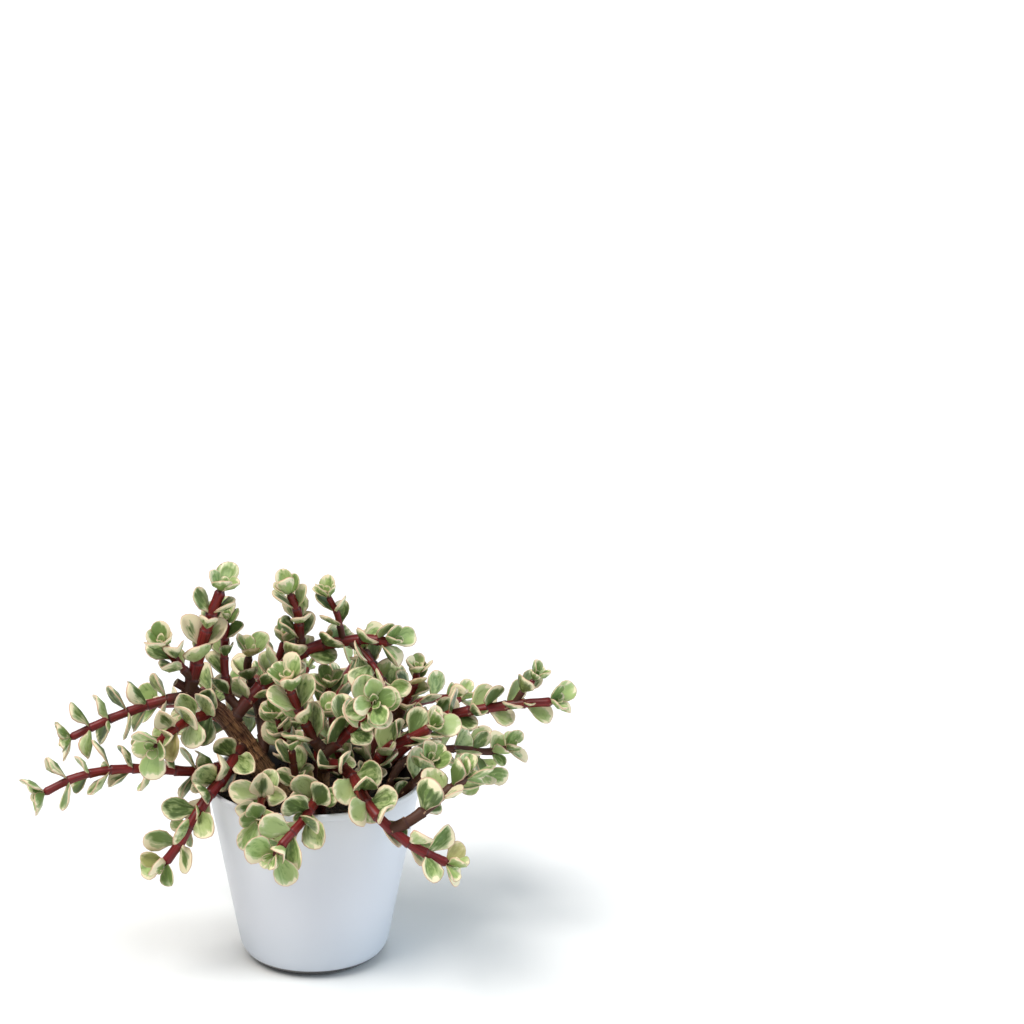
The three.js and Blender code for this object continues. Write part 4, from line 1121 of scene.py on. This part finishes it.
nearRing = separate(namedValue(barkGrower, "stemPlace", "FLOAT_VECTOR"))[1]
thickness = stemRadius * (grow["Collar"] * maths("POWER", nearRing, woodyStem["collarPower"]) + 1.0)
aroundX, aroundY = separate(namedValue(barkGrower, "around", "FLOAT_VECTOR"))[:2]
height = separate(position(barkGrower))[2]
furrowPlace = combine(aroundX * woodyStem["furrowAround"], aroundY * woodyStem["furrowAround"],
                      height * grow["Furrow length"])
furrowNoise = addNode("ShaderNodeTexNoise", {
    "Vector": furrowPlace, "W": grow["Seed"], "Scale": grow["Furrow scale"],
    "Detail": woodyStem["furrowDetail"]}, {"noise_dimensions": "4D"})
tube = moved(tubeAlong(grow["Lines"], grow["Sides"], thickness),
             centred(furrowNoise, grow["Furrow depth"]) * (stemRadius * woodyStem["furrowShare"]))
link(smoothAndPainted(tube, grow["Bark material"]), grown["Geometry"])


def stubRows():
    # the stub stands like a tube, and its sawn end is a raised ring of bark with a flat face down to the pith
    end, age = stub["line"]["length"], woodyStem["stubAge"]
    bare = tubePoints(stub, [end], woodyStem | {"flare": 0, "tipRound": 0.01}, lambda s: age)
    tip = frameAt(stub["line"], end)
    return [(*row[:3], (row[3][0], 0, age), 0.0) for row in bare] + [
        ((tip["at"] + tip["along"] * height) * mm, stub["thin"] * share * mm, 0, (0, 0, 0), cut)
        for height, share, cut in woodyStem["cutRings"]]


for stem in stems[:len(woodyTable)]:
    length, span = stem["line"]["length"], woodyStem["span"]
    nodes = [span * k for k in range(1, int(length / span) + 1) if length - span * k > woodyStem["leastSpan"]]
    groups = [[(*row, 0.0) for row in tubePoints(stem, nodes + [length], woodyStem, lambda s: s / length)]]
    if stem["name"] == "trunk":
        groups.append(stubRows())
    rows, edges = [], []
    for group in groups:
        edges += [(len(rows) + k, len(rows) + k + 1) for k in range(len(group) - 1)]
        rows += group
    piece = newMesh(pieceName(stem["name"]) + "Bark", [row[0] for row in rows], edges, [], {
        key: [row[k] for row in rows] for key, k in (("stemRadius", 1), ("stemPlace", 3), ("cutFace", 4))})
    grownMesh(piece, barkGrower, woodyStem["inputs"] | {
        "Bark material": barkPaint, "Seed": stem["seed"] / 1000}, ("stemPlace", "around", "cutFace"))
    placePiece(piece, stem["name"])
print("woody stems ready")


# pot: a turned shell with a rounded foot, a thin band under a rounded lip, and a shallow recess underneath

potShape = {
    "footSteps": 8, "lipSteps": 5, "sideSteps": 10, "wallHeights": (96, 92, 70, 45, 25),
    "floorRound": (4, 2.6), "recess": (22, 0.6),  # radius and depth
    "recessEdge": [(-1.5, 1), (-0.4, 0.7), (0, 0.2), (0.6, 0)],  # out from its radius, share of its depth
    "bandEdge": [(-0.65, -0.15), (-0.25, 0.1), (0.078, 0.55)],  # out from the side, and up from its foot
    "uneven": 0.001, "unevenScale": 22, "unevenFrom": 20,
}
# the low colour is a painted shade that darkens the outside of the pot towards its foot
potFinish = {"light": (0.635, 0.645, 0.69), "shade": (0.595, 0.61, 0.66), "low": (0.51, 0.545, 0.6),
             # the near-black colour in the next line is painted shade for the inside wall above the soil
             "dust": (0.33, 0.31, 0.29), "damp": (0.028, 0.022, 0.018),
             "whitePatches": (14.0, 0.35, 0.65), "specks": (150.0, 0.1, 0.08), "dustShare": 0.75,
             "wallShare": 0.7, "insideShadeScale": 90.0, "insideShadeSwing": -0.006, "insideShadeShare": 0.95,
             "fades": {"damp": (0.101, 0.095, 1), "low": (0.045, 0.0, 1)},  # by height, in metres
             "bump": (0.06, 0.0003), "grainScale": 700.0,
             "rough": 0.3, "roughSwing": 0.22, "roughScale": 60.0}


def turned(profile, sides):
    # turns a profile of (radius, height) points, from a point on the axis to the next, about the axis
    points, faces, rings = [], [], []
    for radius, height in profile:
        turns = [2 * math.pi * k / sides for k in range(1 if radius < 1e-6 else sides)]
        rings.append([len(points) + k for k in range(len(turns))])
        points += [(radius * mm * math.cos(turn), radius * mm * math.sin(turn), height * mm)
                   for turn in turns]
    for a, b in zip(rings, rings[1:]):
        for k in range(sides):
            corners = [a[k % len(a)], a[(k + 1) % len(a)], b[(k + 1) % len(b)], b[k % len(b)]]
            faces.append(list(dict.fromkeys(corners)))  # a ring on the axis is one point
    return points, faces


def arc(centre, radius, start, end, steps):
    turns = [math.radians(start + (end - start) * k / steps) for k in range(steps + 1)]
    return [(centre[0] + radius * math.cos(turn), centre[1] + radius * math.sin(turn)) for turn in turns]


def potProfile():
    slope = math.atan2(pot["rim"] - pot["foot"], pot["height"])
    footRound, wall, lip, top, step = map(pot.get, ("footRound", "wall", "lipRound", "height", "bandStep"))
    roundCentre = pot["foot"] + footRound * math.tan(slope) - footRound / math.cos(slope)
    recess, deep = potShape["recess"]
    profile = [(0, deep)] + [(recess + out, deep * share) for out, share in potShape["recessEdge"]]
    profile += arc((roundCentre, footRound), footRound, -90, -math.degrees(slope), potShape["footSteps"])
    low, bandFoot, sideSteps = footRound + 2, top - pot["band"], potShape["sideSteps"]
    for k in range(sideSteps + 1):  # the band stands proud of the side, which swells back to it low down
        z = low + (bandFoot - 0.5 - low) * k / sideSteps
        profile.append((outerRadius(z) - step + step * (1 - k / sideSteps), z))
    profile += [(outerRadius(bandFoot) + out, bandFoot + up) for out, up in potShape["bandEdge"]]
    profile += arc((pot["rim"] - lip - 0.05, top - lip), lip, 0, 90, potShape["lipSteps"])
    profile += arc((pot["rim"] - wall + lip, top - lip), lip, 90, 180, potShape["lipSteps"])
    profile += [(outerRadius(z) - wall, z) for z in (*potShape["wallHeights"], footRound + 1)]
    inward, up = potShape["floorRound"]
    return profile + [(outerRadius(footRound) - wall - inward, wall + up), (roundCentre, wall), (0, wall)]


def nearlyRound(x, y, z):  # a moulded wall is never quite true
    outside = math.hypot(x, y) > potShape["unevenFrom"] * mm
    swell = noise.noise(Vector((x, y, z)) * potShape["unevenScale"]) if outside else 0
    push = 1 + potShape["uneven"] * swell
    return x * push, y * push, z


potPaint, potTree, potShader = newMaterial("potGlaze", {"Coat Weight": 0.25, "Coat Roughness": 0.18})
potPlace = objectPlace(potTree)
potX, potY, potZ = separate(potPlace)
# painted shade: what lies inside this cone, which runs within the wall, up to an uneven height, is painted
# near black as shade
wallFace = potZ * ((pot["rim"] - pot["foot"]) / pot["height"]) + (
    pot["foot"] - pot["wall"] * potFinish["wallShare"]) * mm
insideShadeNoise = patchNoise(potPlace, potFinish["insideShadeScale"])
insideShadeTop = fade(potFinish, "damp", potZ + insideShadeNoise * potFinish["insideShadeSwing"])
insideShadeMask = maths("LESS_THAN", distance(potX, potY), wallFace) * insideShadeTop
potWhite = mixColours(patchMask(potPlace, *potFinish["whitePatches"]), potFinish["light"], potFinish["shade"])
potColour = layered(potWhite, potFinish, [
    ("dust", speckMask(potPlace, *potFinish["specks"]) * potFinish["dustShare"]),
    # painted shade: the outside is darker towards the foot
    ("low", fade(potFinish, "low", potZ)),
    # painted shade: the inside wall above the soil is painted near black
    ("damp", insideShadeMask * potFinish["insideShadeShare"])])
potRough = patchNoise(potPlace, potFinish["roughScale"]) * potFinish["roughSwing"] + potFinish["rough"]
finishWith(potShader, potFinish, potColour, potRough, patchNoise(potPlace, potFinish["grainScale"]))

potPoints, potFaces = turned(potProfile(), pot["sides"])
potShell = newMesh("potShell", [nearlyRound(*point) for point in potPoints], [], potFaces, {})
potShell.data.polygons.foreach_set("use_smooth", [True] * len(potFaces))
potShell.data.materials.append(potPaint)
scene.collection.objects.link(potShell)
placePiece(potShell, "pot")
print("pot ready:", len(potFaces), "faces")


# soil: an uneven dark bed, with crumbs and bits of bark strewn over it

soilBed = {
    "rings": 26, "sides": 110, "gap": 0.35, "mound": 1.1, "edgeDrop": 0.8,
    "lumps": [(45, 0.7), (150, 0.45), (420, 0.3)],  # scale and share of the mounds
    "footPoints": [(24, 2.55), (33, 5.5)], "sideHeights": (15, 50), "crumbEdge": 2.5,
    "crumbShapes": [(1, 0.8, 0.7), (1.7, 0.6, 0.4), (0.9, 0.9, 0.6)],
    "crumbLeast": 0.8, "crumbSwing": 0.5, "crumbScale": 1.7, "crumbStep": 5, "smallPower": 3.0,
    "inputs": {"Density": 150000.0, "Least size": 0.0007, "Most size": 0.0026, "Lowest": 0.088, "Seed": 5},
}
soilFinish = {"dark": (0.012, 0.009, 0.008), "brown": (0.05, 0.032, 0.022), "fibre": (0.14, 0.09, 0.055),
              "grit": (0.25, 0.22, 0.19), "clods": (260.0, 0.42, 0.68), "clodDetail": 4.0,
              "fibreStretch": (1.0, 4.0, 2.0), "fibrePatches": (150.0, 0.66, 0.7),
              "specks": (500.0, 0.35, 0.04), "bump": (0.8, 0.0008), "grainScale": 900.0, "grainDetail": 4.0,
              "rough": 0.95, "shineScale": 300.0, "shine": 0.25}
soilPaint, soilTree, soilShader = newMaterial("pottingSoil", {"Specular IOR Level": 0.25})
soilPlace = objectPlace(soilTree)
clods = patchMask(soilPlace, *soilFinish["clods"], detail=soilFinish["clodDetail"])
fibrePlace = vectorMaths("MULTIPLY", soilPlace, soilFinish["fibreStretch"])
soilColour = layered(mixColours(clods, soilFinish["dark"], soilFinish["brown"]), soilFinish, [
    ("fibre", patchMask(fibrePlace, *soilFinish["fibrePatches"])),
    ("grit", speckMask(soilPlace, *soilFinish["specks"]))])
soilRough = soilFinish["rough"] - patchMask(soilPlace, soilFinish["shineScale"]) * soilFinish["shine"]
finishWith(soilShader, soilFinish, soilColour, soilRough,
           patchNoise(soilPlace, soilFinish["grainScale"], detail=soilFinish["grainDetail"]))


def soilReach(z):
    return outerRadius(z) - pot["wall"] - soilBed["gap"]


def soilProfile():
    top, rings = soil["top"], soilBed["rings"]
    profile = [(0, soilBed["footPoints"][0][1])] + soilBed["footPoints"]
    profile += [(soilReach(z), z) for z in soilBed["sideHeights"]]
    profile += [(soilReach(top), top - soilBed["edgeDrop"])]
    return profile + [(soilReach(top) * (1 - k / rings), top) for k in range(1, rings)] + [(0, top)]


def mounded(x, y, z):
    if z < soil["top"] * mm - 1e-6:
        return x, y, z
    rise = sum(noise.noise(Vector((x, y, 0)) * scale) * share for scale, share in soilBed["lumps"])
    return x, y, z + soilBed["mound"] * mm * max(min(rise, 1), -1)


soilPoints, soilFaces = turned(soilProfile(), soilBed["sides"])
soilPiece = newMesh("soilBed", [mounded(*point) for point in soilPoints], [], soilFaces, {})

crumbs = bpy.data.collections.new("crumbs")
for number, stretch in enumerate(soilBed["crumbShapes"]):
    crumbMesh = bpy.data.meshes.new(f"crumb{number}")
    shaper = bmesh.new()
    bmesh.ops.create_icosphere(shaper, subdivisions=1, radius=1)
    for vertex in shaper.verts:
        where = vertex.co * soilBed["crumbScale"] + Vector((number * soilBed["crumbStep"], 0, 0))
        vertex.co *= soilBed["crumbLeast"] + soilBed["crumbSwing"] * noise.noise(where)
        vertex.co = Vector(a * b for a, b in zip(vertex.co, stretch))
    shaper.to_mesh(crumbMesh)
    shaper.free()
    crumbs.objects.link(bpy.data.objects.new(f"crumb{number}", crumbMesh))

strewer, strew, strewn = newGroup("crumbStrewer", "GeometryNodeTree", [
    ("Bed", "Geometry"), ("Crumbs", "Collection"), ("Soil material", "Material"), ("Reach", "Float", 0.05),
    *numberSockets(soilBed["inputs"])], [("Geometry", "Geometry")])
bedX, bedY, bedZ = separate(position(strewer))
withinReach = maths("LESS_THAN", distance(bedX, bedY), strew["Reach"])
onTop = maths("GREATER_THAN", bedZ, strew["Lowest"]) * withinReach
spots = addNode("GeometryNodeDistributePointsOnFaces", {
    "Mesh": strew["Bed"], "Selection": onTop, "Density": strew["Density"], "Seed": strew["Seed"]},
    {"distribute_method": "RANDOM"})
mostlySmall = maths("POWER", randomValue(strew["Seed"]), soilBed["smallPower"])
crumbSize = mostlySmall * (strew["Most size"] - strew["Least size"]) + strew["Least size"]
crumbPick = randomValue(strew["Seed"] + 1.0, "INT", {"Min": 0, "Max": len(soilBed["crumbShapes"]) - 1})
anyTurn = {"Min": (0, 0, 0), "Max": (6.28, 6.28, 6.28)}
crumbTurn = randomValue(strew["Seed"] + 2.0, "FLOAT_VECTOR", anyTurn)
strewnCrumbs = shapesOn(spots, strew["Crumbs"], crumbPick, crumbTurn, crumbSize)
link(addNode("GeometryNodeSetMaterial", {"Geometry": joinedParts(strewnCrumbs, strew["Bed"]),
                                         "Material": strew["Soil material"]}), strewn["Geometry"])
grownMesh(soilPiece, strewer, soilBed["inputs"] | {
    "Crumbs": crumbs, "Soil material": soilPaint,
    "Reach": (soilReach(soil["top"]) - soilBed["crumbEdge"]) * mm}, ())
placePiece(soilPiece, "soil")
dropShapes(crumbs)
print("soil ready:", len(soilPiece.data.polygons), "faces")
